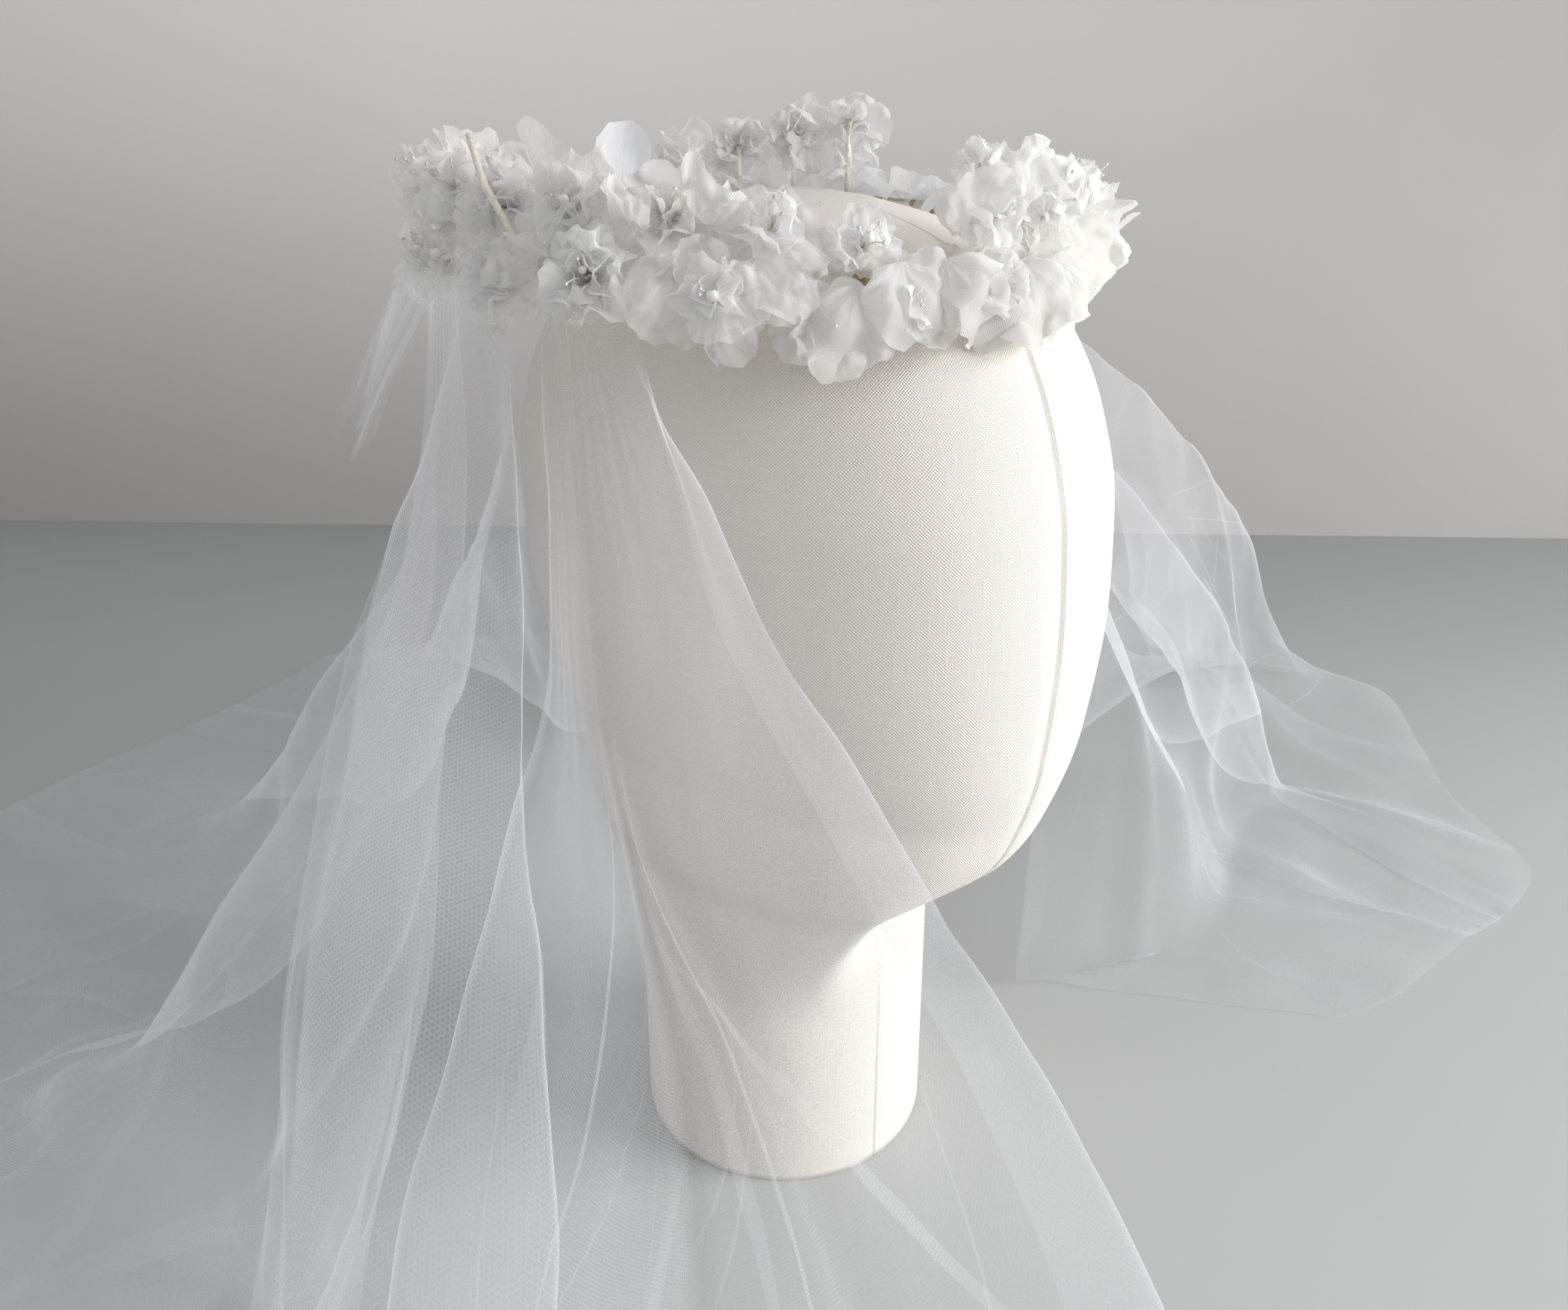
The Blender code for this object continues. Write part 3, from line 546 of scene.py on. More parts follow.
# ---------------------------------------------------------------- materials
class Nodes:
    """Short calls for building one material's nodes."""

    def __init__(self, name):
        self.made = bpy.data.materials.new(name)
        self.made.use_nodes = True
        self.tree = self.made.node_tree
        self.shader = self.tree.nodes["Principled BSDF"]

    def give(self, socket, value):
        """Links an output to a socket, or sets the socket to a number or colour."""
        if hasattr(value, "links"):
            self.tree.links.new(value, socket)
        else:
            socket.default_value = value

    def node(self, kind, *values, **settings):
        """A new node with its settings, and with values for its first sockets."""
        made = self.tree.nodes.new(kind)
        for key, value in settings.items():
            setattr(made, key, value)
        for socket, value in zip(made.inputs, values):
            self.give(socket, value)
        return made

    def surface(self, **values):
        """Sets or links the principled shader's sockets."""
        for key, value in values.items():
            self.give(self.shader.inputs[key.replace("_", " ")], value)

    def math(self, operation, *values):
        return self.node("ShaderNodeMath", *values, operation=operation).outputs[0]

    def times(self, *values):
        return self.math("MULTIPLY", *values)

    def plus(self, *values):
        return self.math("ADD", *values)

    def cloth(self):
        """The place in the cloth, in metres, as two outputs."""
        place = self.node("ShaderNodeUVMap", uv_map="cloth").outputs[0]
        split = self.node("ShaderNodeSeparateXYZ", place)
        return split.outputs[0], split.outputs[1]

    def noise(self, scale, detail, stretch=(1, 1, 1), at=None):
        """Soft noise in the part's own space, or at the place given."""
        if at is None:
            mapping = self.node("ShaderNodeMapping", self.node("ShaderNodeTexCoord").outputs["Object"])
            mapping.inputs["Scale"].default_value = stretch
            at = mapping.outputs[0]
        made = self.node("ShaderNodeTexNoise", at)
        made.inputs["Scale"].default_value = scale
        made.inputs["Detail"].default_value = detail
        return made.outputs["Fac"]

    def ramp(self, value, low, high, to_low=0.0, to_high=1.0):
        """A value eased from one range into another."""
        made = self.node("ShaderNodeMapRange", value, low, high, to_low, to_high,
                         interpolation_type="SMOOTHSTEP")
        return made.outputs[0]

    def colours(self, value, *stops):
        made = self.node("ShaderNodeValToRGB", value)
        ramp = made.color_ramp
        while len(ramp.elements) < len(stops):
            ramp.elements.new(0.5)
        for element, (place, colour) in zip(ramp.elements, stops):
            element.position = place
            element.color = (*colour, 1.0)
        return made.outputs[0]

    def bump(self, height, distance, strength):
        made = self.node("ShaderNodeBump", strength, distance)
        self.give(made.inputs["Height"], height)
        return made.outputs[0]

    def mixed(self, share, first, second):
        """One shader turned into another by a share."""
        return self.node("ShaderNodeMixShader", share, first, second).outputs[0]

    def show(self, shader):
        self.give(self.tree.nodes["Material Output"].inputs["Surface"], shader)
        return self.made

    def sheer(self, tint, glow, cover=None):
        """The material as cloth that light shines through, and sight where its threads don't cover."""
        through = self.node("ShaderNodeBsdfTranslucent", (*tint, 1.0)).outputs[0]
        lit = self.mixed(glow, self.shader.outputs[0], through)
        if cover is not None:
            lit = self.mixed(cover, self.node("ShaderNodeBsdfTransparent").outputs[0], lit)
        return self.show(lit)


def hexagons(nodes):
    """A value that is high in the holes of the hexagonal net and low on its threads."""
    u, v = nodes.cloth()
    waves = []
    for turn in (0, 60, 120):
        along = nodes.times(u, ALL_ROUND / NET_PITCH * math.cos(math.radians(turn)))
        across = nodes.times(v, ALL_ROUND / NET_PITCH * math.sin(math.radians(turn)))
        waves.append(nodes.math("COSINE", nodes.plus(along, across)))
    return nodes.plus(nodes.plus(waves[0], waves[1]), waves[2])


def make_net():
    """Sheer net: the more layers lie gathered together, the less shows through."""
    nodes = Nodes("tulle")
    threads = nodes.ramp(hexagons(nodes), -1.3, 1.6, 1.0, 0.35)
    layers = nodes.node("ShaderNodeAttribute", attribute_name="layers").outputs["Fac"]
    facing = nodes.node("ShaderNodeLayerWeight", 0.5).outputs["Facing"]
    slant = nodes.math("MAXIMUM", nodes.math("SUBTRACT", 1.0, facing), 0.20)
    cloudy = nodes.ramp(nodes.noise(11.0, 2.0), 0.3, 0.7, 0.75, 1.25)
    density = nodes.plus(nodes.times(threads, NET_THREADS), NET_HAZE)
    density = nodes.math("DIVIDE", nodes.times(nodes.times(density, layers), cloudy), slant)
    seen_through = nodes.math("POWER", math.e, nodes.times(density, -1.0))
    nodes.surface(Base_Color=(*NET_TINT, 1.0), Roughness=0.6)
    return nodes.sheer(NET_TINT, 0.5, nodes.math("SUBTRACT", 1.0, seen_through))


def make_wisps():
    """Frayed net: soft strands that thin out towards their ends."""
    nodes = Nodes("frayed_tulle")
    u, v = nodes.cloth()
    place = nodes.node("ShaderNodeCombineXYZ", nodes.times(u, 420.0), nodes.times(v, 22.0))
    strands = nodes.ramp(nodes.noise(1.0, 4.0, at=place.outputs[0]), 0.40, 0.66, 0.03, 0.50)
    fade = nodes.ramp(v, 0.0, 0.052, 1.0, 0.30)
    nodes.surface(Base_Color=(*WISP_TINT, 1.0), Roughness=0.7)
    return nodes.sheer(WISP_TINT, 0.5, nodes.times(strands, fade))


def make_canvas():
    """Cream plain-woven canvas with slubs."""
    nodes = Nodes("canvas")
    warp, weft = (nodes.math("SINE", nodes.times(place, ALL_ROUND / CANVAS_PITCH)) for place in nodes.cloth())
    weave = nodes.times(warp, weft)
    upright = nodes.noise(1300.0, 1.0, (1, 1, 0.06))
    level = nodes.noise(1300.0, 1.0, (0.07, 0.07, 1))
    slubs = nodes.ramp(nodes.math("MAXIMUM", upright, level), 0.48, 0.86)
    shade = nodes.times(nodes.plus(weave, 1.0), 0.30)
    shade = nodes.plus(shade, nodes.times(slubs, 0.12))
    shade = nodes.plus(shade, nodes.times(nodes.noise(9.0, 3.0), 0.14))
    colour = nodes.colours(shade, (0.05, (0.70, 0.65, 0.57)), (0.42, (0.87, 0.845, 0.80)),
                           (0.9, (0.92, 0.905, 0.87)))
    height = nodes.plus(nodes.times(weave, 0.6), nodes.times(slubs, 0.4))
    nodes.surface(Base_Color=colour, Roughness=0.95, Normal=nodes.bump(height, 0.00018, 0.7))
    return nodes.made


def make_silk(name, colour, shade, roughness, glow, sheer=0.0, twill=0.03):
    """Petal silk: satin's fine diagonal lines, or organza that lets light and sight through."""
    nodes = Nodes(name)
    u, v = nodes.cloth()
    lines = nodes.math("SINE", nodes.times(nodes.plus(u, v), ALL_ROUND / TWILL_PITCH))
    clouds = nodes.noise(90.0, 4.0)
    spread = nodes.times(nodes.math("ARCTAN2", u, v), 7.0)
    reach = nodes.math("SQRT", nodes.plus(nodes.times(u, u), nodes.times(v, v)))
    fan_out = nodes.node("ShaderNodeCombineXYZ", spread, nodes.times(reach, 90.0), nodes.times(clouds, 2.0))
    fibres = nodes.noise(1.0, 4.0, at=fan_out.outputs[0])
    tone = nodes.plus(nodes.times(clouds, 0.4), nodes.times(fibres, 0.6))
    height = nodes.plus(nodes.times(lines, twill), fibres)
    nodes.surface(Base_Color=nodes.colours(tone, (0.30, shade), (0.62, colour)), Roughness=roughness,
                  Sheen_Weight=0.8, Normal=nodes.bump(height, 0.0010, 0.6))
    cover = nodes.plus(nodes.times(fibres, sheer), 1.0 - 1.5 * sheer) if sheer > 0 else None
    return nodes.sheer(colour, glow, cover)


def make_plain(name, dark, light, roughness, scale, depth, coat=0.0):
    """A small solid thing whose colour and surface vary a little."""
    nodes = Nodes(name)
    mottled = nodes.noise(scale, 4.0)
    nodes.surface(Base_Color=nodes.colours(mottled, (0.3, dark), (0.7, light)), Roughness=roughness,
                  Coat_Weight=coat, Normal=nodes.bump(mottled, depth, 0.6))
    return nodes.made


# ---------------------------------------------------------------- head form
def seam_sink(theta, height):
    """How far a seam draws the canvas in here, less what its allowance pushes it out."""
    sink = 0.0
    for seam in SEAM_ANGLES:
        away = abs((theta - seam + 180) % 360 - 180)
        sink += SEAM_DEPTH * math.exp(-(away / SEAM_WIDTH) ** 2)
        sink -= SEAM_RIDGE * math.exp(-((away - ALLOWANCE_AWAY) / ALLOWANCE_WIDTH) ** 2)
    return sink * min(eased(height, SEAM_BEGINS), eased(height, SEAM_ENDS))


def make_head_form(canvas):
    """The canvas form: smooth sections with sewn seams and their allowances."""
    sections = np.array(HEAD_SECTIONS, dtype=float)
    crown = HEAD_SECTIONS[-1]
    along = chords(sections[:, :2])
    at = np.linspace(0, 1, HEAD_ROWS) * along[-1]
    fine = smooth_run(along, sections, at)
    low, high = CHIN_HEIGHTS
    below, above = (np.array([np.interp(end, fine[:, 0], reach) for reach in fine[:, 1:].T])
                    for end in CHIN_HEIGHTS)
    points, flat = [], []
    for place, (height, *reach) in zip(at, fine):
        own = flowing = np.array(reach)
        if low < height < high:
            flowing = np.maximum(own, below + (above - below) * eased(height, CHIN_HEIGHTS))
        for k in range(HEAD_SIDES):
            theta = 360.0 * k / HEAD_SIDES
            angle = math.radians(theta)
            azimuth = (theta + 180.0) % 360.0 - 180.0
            run_out = max(eased(azimuth, CHIN_RIGHT), eased(azimuth, CHIN_LEFT))
            front, back, side = own + (flowing - own) * run_out
            deep = front if math.cos(angle) > 0 else back
            scale = 1 - seam_sink(theta, height) / deep
            points.append((-side * math.sin(angle) * scale, -deep * math.cos(angle) * scale, height))
            flat.append((HEAD_GIRTH * k / HEAD_SIDES, place))
    faces = grid_faces(HEAD_ROWS, HEAD_SIDES, closed=True)
    faces.append(tuple(range(HEAD_SIDES))[::-1])
    first = len(points) - HEAD_SIDES
    middle = (crown.back - crown.front) / 2
    for step in range(1, CROWN_ROWS):
        t = step / CROWN_ROWS
        height = crown.height + (HEAD_TOP - crown.height) * math.sin(math.pi / 2 * t) ** 1.2
        for k in range(HEAD_SIDES):
            x, y, _ = points[first + k]
            points.append((x * (1 - t), middle + (y - middle) * (1 - t), height))
            flat.append((HEAD_GIRTH * k / HEAD_SIDES, at[-1] + crown.front * t))
    faces += grid_faces(CROWN_ROWS, HEAD_SIDES, closed=True, first=first)
    points.append((0.0, middle, HEAD_TOP))
    flat.append((0.0, at[-1] + crown.front))
    faces += fan(len(points) - 1 - HEAD_SIDES, HEAD_SIDES, len(points) - 1)
    add_piece("canvas_head", "head_form", points, faces, [canvas], flat)


# ---------------------------------------------------------------- circlet
def make_circlet(tape):
    """Wire wound with tape: each turn of the tape overlaps the one before."""
    points = []
    for i in range(TAPE_STEPS):
        azimuth = 360.0 * i / TAPE_STEPS
        for k in range(TAPE_SIDES):
            angle = ALL_ROUND * k / TAPE_SIDES
            wound = (TAPE_TURNS * i / TAPE_STEPS - k / TAPE_SIDES) % 1.0
            radius = TAPE_RADIUS * (1 - TAPE_LAP + TAPE_LAP * wound)
            points.append(on_circlet(azimuth, radius * math.cos(angle), radius * math.sin(angle)))
    faces = grid_faces(TAPE_STEPS, TAPE_SIDES, closed=True)
    last = (TAPE_STEPS - 1) * TAPE_SIDES
    for k in range(TAPE_SIDES):
        beside = (k + 1) % TAPE_SIDES
        faces.append((last + k, last + beside, beside, k))
    add_piece("wound_circlet", "circlet", points, faces, [tape])


# ---------------------------------------------------------------- veil
def fold_line(fold, rows):
    """Points of a fold from heading to hem, closer together near the heading."""
    start = on_circlet(fold.heading, HEADING_OUT, -HEADING_DROP)
    turns = [polar(*place) for place in (fold.shoulder, fold.knee, fold.landing, fold.hem)]
    knots = np.array([start] + turns)
    places = chords(knots)
    fine = smooth_run(places, knots, np.linspace(0.0, places[-1], 240))
    run = chords(fine)
    spaced = run[-1] * np.linspace(0.0, 1.0, rows) ** ROW_CROWDING
    return np.stack([np.interp(spaced, run, fine[:, axis]) for axis in range(3)], axis=1)


def layer_below(line):
    """The same fold line one pleat depth further in, square to the fold."""
    tangent = unit(np.gradient(line, axis=0))
    level = tangent * (1.0, 1.0, 0.0)
    size = np.maximum(np.linalg.norm(level, axis=1), 1e-6)[:, None]
    inward = level / size * tangent[:, 2:3]
    inward[:, 2] = -size[:, 0]
    opened = np.clip(chords(line) / PLEAT_OPENS, 0.0, 1.0)[:, None]
    return line + unit(inward) * PLEAT_DEPTH * (PLEAT_GATHERED + (1 - PLEAT_GATHERED) * opened)


def veil_lines():
    """Every fold line in order, a flat pleat's turn as two lines, with its fold's name."""
    lines = []
    for fold in FOLDS:
        line = fold_line(fold, ROWS_DOWN)
        if fold.layer == 0:
            lines.append((fold.name, line))
        elif fold.layer > 0:
            lines += [(fold.name, line), (fold.name, layer_below(line))]
        else:
            lines += [(fold.name, layer_below(line)), (fold.name, line)]
    return lines


def cross_sections(stack, counts):
    """Rounded curves through each row of fold points, with so many steps in each span."""
    step = np.linalg.norm(np.diff(stack, axis=0), axis=2) ** 0.5
    slope = np.diff(stack, axis=0) / step[:, :, None]
    tangent = np.zeros_like(stack)
    tangent[0], tangent[-1] = slope[0], slope[-1]
    before, after = step[:-1, :, None], step[1:, :, None]
    tangent[1:-1] = slope[:-1] + slope[1:] - (stack[2:] - stack[:-2]) / (before + after)
    out = [stack[0]]
    for i, count in enumerate(counts):
        width = step[i][:, None]
        for place in range(1, count + 1):
            out.append(hermite(place / count, stack[i], stack[i + 1],
                               tangent[i] * width, tangent[i + 1] * width))
    return np.stack(out, axis=1)


def cloth_places(grid):
    """Each point's place in the flat cloth, and how many layers of it are gathered there."""
    across = np.linalg.norm(np.diff(grid, axis=1), axis=2)
    widest = across.max(axis=0) * CLOTH_SLACK
    u = np.concatenate([[0.0], np.cumsum(widest)])
    v = np.stack([chords(line) for line in grid.swapaxes(0, 1)], axis=1)
    crowd = np.clip(widest / np.maximum(across, 1e-5), 1.0, CROWDED_MOST) ** CROWDED_POWER
    beside = np.concatenate([crowd[:, :1], crowd, crowd[:, -1:]], axis=1)
    return np.broadcast_to(u, v.shape), v, (beside[:, :-1] + beside[:, 1:]) / 2


def crease_relief(u, v, columns):
    """How far the creases lift each point of the cloth."""
    relief = np.zeros(u.shape)
    for crease in CREASES:
        start = np.array([u[0, columns[crease.start]], crease.start_down])
        end = np.array([u[0, columns[crease.end]], crease.end_down])
        run = end - start
        share = ((u - start[0]) * run[0] + (v - start[1]) * run[1]) / float(run @ run)
        near = np.clip(share, 0.0, 1.0)
        away = np.hypot(u - start[0] - near * run[0], v - start[1] - near * run[1])
        fade = np.sin(np.pi * np.clip(share, 0.02, 0.98)) ** 0.5
        relief += crease.height * fade * np.exp(-(away / crease.width) ** 2)
    return relief


def on_cloth(values, u, v, across, down):
    """What a grid of values holds at these places across the cloth and down from its heading."""
    column = np.interp(across, u[0], np.arange(u.shape[1]))
    j = np.minimum(column.astype(int), u.shape[1] - 2)
    row = np.array([np.interp(d, v[:, c], np.arange(v.shape[0])) for d, c in zip(down, j)])
    i = np.minimum(row.astype(int), v.shape[0] - 2)
    s, t = (column - j)[:, None], (row - i)[:, None]
    near = values[i, j] * (1 - s) + values[i, j + 1] * s
    far = values[i + 1, j] * (1 - s) + values[i + 1, j + 1] * s
    return near * (1 - t) + far * t


def folded_strips(grid, u, v, lo, hi, columns):
    """Strips of doubled net, thin along sharp creases and broad where net lies folded over."""
    dice = random.Random(lo)
    normals = grid_normals(grid)
    left, right = u[0, lo] + 0.001, u[0, hi - 1] - 0.001
    share = (right - left) / u[0, -1]
    t = np.linspace(0.0, 1.0, LINE_POINTS)
    swell = np.sin(math.pi * np.clip(t, 0.02, 0.98)) ** 0.6
    runs = []
    for strip in STRIPS:
        for _ in range(round(strip.count * share)):
            top, drop = dice.uniform(*strip.top), dice.uniform(*strip.drop)
            drift, bow = dice.uniform(-strip.drift, strip.drift), dice.uniform(-0.02, 0.02)
            middle = dice.uniform(left, right) + drift * t + bow * np.sin(math.pi * t)
            half, weight = dice.uniform(*strip.half), dice.uniform(*strip.weight)
            runs.append((middle, top + drop * t, half * dice.choice((-1, 1)), weight, strip.fill))
    for lap in LAPS:
        start, towards = u[0, columns[lap.start]], u[0, columns[lap.towards]]
        if left < (start + towards) / 2 < right:
            middle = start + (towards - start) * lap.reach * t
            down = lap.start_down + (lap.end_down - lap.start_down) * t
            runs.append((middle, down, lap.half, lap.weight, LAP_FILL))
    points, faces, flat, layers = [], [], [], []
    for middle, down, half, weight, fill in runs:
        first, width = len(points), len(fill)
        shares = [2 * k / (width - 1) - 1 for k in range(width)]
        across = [np.clip(middle + half * swell * share, left, right) for share in shares]
        lines = [on_cloth(grid, u, v, place, down) + LIFT * unit(on_cloth(normals, u, v, place, down))
                 for place in across]
        for place in range(LINE_POINTS):
            for k in range(width):
                points.append(lines[k][place])
                flat.append((across[k][place], down[place]))
                layers.append(weight * fill[k] * (swell[place] if width == 3 else 1.0))
        faces += grid_faces(LINE_POINTS, width, first=first)
    return points, faces, flat, layers


def gather_relief(u, v):
    """Small gathers under the heading that run out downwards, uneven in width."""
    wander = 1.6 * np.sin(u * 23.0 + 1.3) + 1.1 * np.sin(u * 47.0 + v * 9.0)
    wander += 0.8 * np.sin(u * 91.0 - v * 5.0)
    depth = 0.5 + 0.5 * np.sin(u * 13.0 + 0.6) * np.sin(u * 29.0 + 2.0)
    broad, narrow = (u * ALL_ROUND / width for width in GATHER_WIDTHS)
    pleats = np.sin(broad + wander) + 0.5 * np.sin(narrow + 2.0 * wander)
    run_out = np.exp(-(v / GATHER_LENGTH) ** 1.2) * np.clip(v / 0.02, 0.0, 1.0)
    return GATHER_HEIGHT * pleats * depth * run_out


def ripple_relief(grid):
    """The slight waviness of net that lies loosely."""
    out = np.zeros(grid.shape[:2])
    for i, j in np.ndindex(out.shape):
        x, y, z = grid[i, j]
        for level, upright, height in RIPPLES:
            out[i, j] += noise.noise(Vector((x * level, y * level, z * upright))) * height
    return out


def make_veil(net):
    """The whole veil as one grid of points, cut into the stretches of the CAD."""
    lines = veil_lines()
    stack = np.array([line for _, line in lines])
    hems = np.linalg.norm(np.diff(stack[:, -1], axis=0), axis=1)
    counts = [max(3, round(float(width) / COLUMN_WIDTH)) for width in hems]
    columns, at, thicker = {}, 0, [1.0]
    for index, (name, _) in enumerate(lines):
        columns.setdefault(name, at)
        steps = counts[index] if index < len(counts) else 0
        at += steps
        turning = index + 1 < len(lines) and lines[index + 1][0] == name
        start, end = (1.0, 1.0) if turning else SPAN_LAYERS.get(name, (1.0, 1.0))
        thicker += list(np.linspace(start, end, steps))
    grid = cross_sections(stack, counts)
    u, v, layers = cloth_places(grid)
    thin, full_by = THIN_HEADING
    layers = layers * np.array(thicker) * (thin + (1 - thin) * np.clip(v / full_by, 0.0, 1.0))
    steady = np.clip(v / 0.05, 0.0, 1.0)
    relief = crease_relief(u, v, columns) + gather_relief(u, v) + ripple_relief(grid) * steady
    grid = grid + grid_normals(grid) * relief[:, :, None]
    grid[:, :, 2] = np.maximum(grid[:, :, 2], NET_ON_TABLE)
    for name, first_fold, last_fold in STRETCH_ENDS:
        lo, hi = columns[first_fold], columns[last_fold] + 1
        part = grid[:, lo:hi]
        flat = np.stack([u[:, lo:hi], v[:, lo:hi]], axis=2).reshape(-1, 2)
        extra, strips, places, doubled = folded_strips(grid, u, v, lo, hi, columns)
        faces = grid_faces(*part.shape[:2])
        faces += [tuple(len(flat) + corner for corner in face) for face in strips]
        piece = add_piece(name.replace("veil", "net"), name,
                          np.concatenate([part.reshape(-1, 3), extra]), faces, [net],
                          np.concatenate([flat, places]),
                          np.concatenate([layers[:, lo:hi].ravel(), doubled]))


def make_frill(wisps):
    """The gathered frill under the blossoms, with a ragged outer edge."""
    rows, columns = 16, 720
    grid = np.zeros((rows, columns, 3))
    flat = np.zeros((rows, columns, 2))
    layers = np.zeros((rows, columns))
    for j in range(columns):
        share = j / (columns - 1)
        azimuth = FRILL_START + (FRILL_END - FRILL_START) * share
        width = np.interp(azimuth, *zip(*FRILL_WIDTHS))
        wave = share * FRILL_WAVES * 2
        uneven = 1.0 + 0.18 * math.sin(2.1 * wave) + 0.12 * math.sin(5.3 * wave)
        uneven += 0.07 * math.sin(17.0 * wave)
        for i in range(rows):
            t = i / (rows - 1)
            lift = FRILL_WAVE * t * math.cos(math.pi * wave)
            lift += 0.0011 * t**0.5 * math.sin(5.7 * math.pi * wave)
            up = -FRILL_BELOW - FRILL_DROP * t**1.5 * uneven + lift
            sway = 0.64 * t * math.sin(3.3 * math.pi * wave)
            grid[i, j] = on_circlet(azimuth + sway, FRILL_OUT + width * t * uneven, up)
            flat[i, j] = (share * 0.9, t * FRILL_LENGTH)
            layers[i, j] = 2.2 - 1.3 * t
    piece = add_piece("net_frill", "heading_frill", grid.reshape(-1, 3), grid_faces(rows, columns),
                      [wisps], flat.reshape(-1, 2), layers.ravel())


# ---------------------------------------------------------------- flowers
def axes_facing(azimuth, elevation, turn):
    """Unit vectors of a flower that faces out at this azimuth and elevation."""
    rise = math.radians(elevation)
    face = outward(azimuth) * math.cos(rise) + UP * math.sin(rise)
    side = unit(np.cross(face, UP))
    up = np.cross(side, face)
    spin = math.radians(turn)
    return face, side * math.cos(spin) + up * math.sin(spin), up * math.cos(spin) - side * math.sin(spin)


def petal_grid(length, taper, cup, curl, kind, ruffle, dice, rows=9, columns=25):
    """One petal spread like a fan from its root along +y, cupped towards +z, crumpled and frayed."""
    grid = np.zeros((rows, columns, 3))
    phase, seed = dice.uniform(0, 6.28), dice.uniform(0, 90)
    waves, lobes = dice.uniform(3.0, 5.0), dice.choice((1.5, 2, 3))
    lean, fold = dice.uniform(-0.16, 0.16), dice.uniform(-0.15, 0.30)
    for j in range(columns):
        spread = math.radians(86.0) * (2 * j / (columns - 1) - 1)
        edge = length * math.cos(spread) ** taper
        edge *= 1 + 0.055 * math.cos(lobes * 2 * spread + phase) + 0.02 * math.sin(17 * spread + seed)
        edge *= 1 + 2.0 * kind.fray * noise.noise(Vector((spread * 9.0, seed, 0.0)))
        for i in range(rows):
            r = (i / (rows - 1)) ** 0.85
            x, y = r * edge * math.sin(spread), r * edge * math.cos(spread)
            across, along = x / length, y / length
            z = cup * (1.5 * across**2 + 0.7 * along**2 * (1 - 0.5 * along))
            z += fold * abs(across)
            z -= curl * max(0.0, r - 0.5) ** 2 * 2.4
            z += ruffle * r**2.5 * math.sin(waves * spread * 1.6 + phase)
            z += kind.groove * r**0.7 * math.cos(11.0 * spread + phase + 2.0 * lean * along)
            z += kind.crumple * r * noise.noise(Vector((across * 2.4 + seed, along * 2.4, seed * 0.37)))
            z += kind.crumple * 0.35 * r * noise.noise(
                Vector((across * 6.5, along * 6.5 + seed, seed * 0.61)))
            grid[i, j] = (x + lean * length * along**2, y, z * length)
    return grid


def place_petal(heap, grid, root, axis, side, slot, roll=0.0):
    """Puts a petal with its root at a point, growing along axis, its cupped face towards the third axis."""
    axis = unit(axis)
    flat_side = unit(side - axis * float(side @ axis))
    flat_cup = np.cross(flat_side, axis)
    turn = math.radians(roll)
    side = flat_side * math.cos(turn) + flat_cup * math.sin(turn)
    cupped = flat_cup * math.cos(turn) - flat_side * math.sin(turn)
    points = root + grid[..., 0:1] * side + grid[..., 1:2] * axis + grid[..., 2:3] * cupped
    heap.add(points.reshape(-1, 3), grid_faces(*grid.shape[:2]), slot, grid[..., :2].reshape(-1, 2))


def add_loose(heap, loose, dice):
    """A loose petal that hangs or stands from its own root by the circlet."""
    away, along = outward(loose.azimuth), outward(loose.azimuth + 90)
    lean, tip = math.radians(loose.lean), math.radians(loose.tip)
    level = along * math.sin(lean) - UP * math.cos(lean)
    axis = level * math.cos(tip) + away * math.sin(tip)
    kind = KINDS.get(loose.silk, KINDS["satin"])
    grid = petal_grid(loose.length, kind.taper * 0.9, kind.cup * 1.2, 0.35, kind, kind.ruffle, dice, 14, 33)
    root = on_circlet(loose.azimuth, loose.out, loose.up)
    place_petal(heap, grid, root, axis, np.cross(axis, away), SILKS.index(loose.silk), loose.roll)


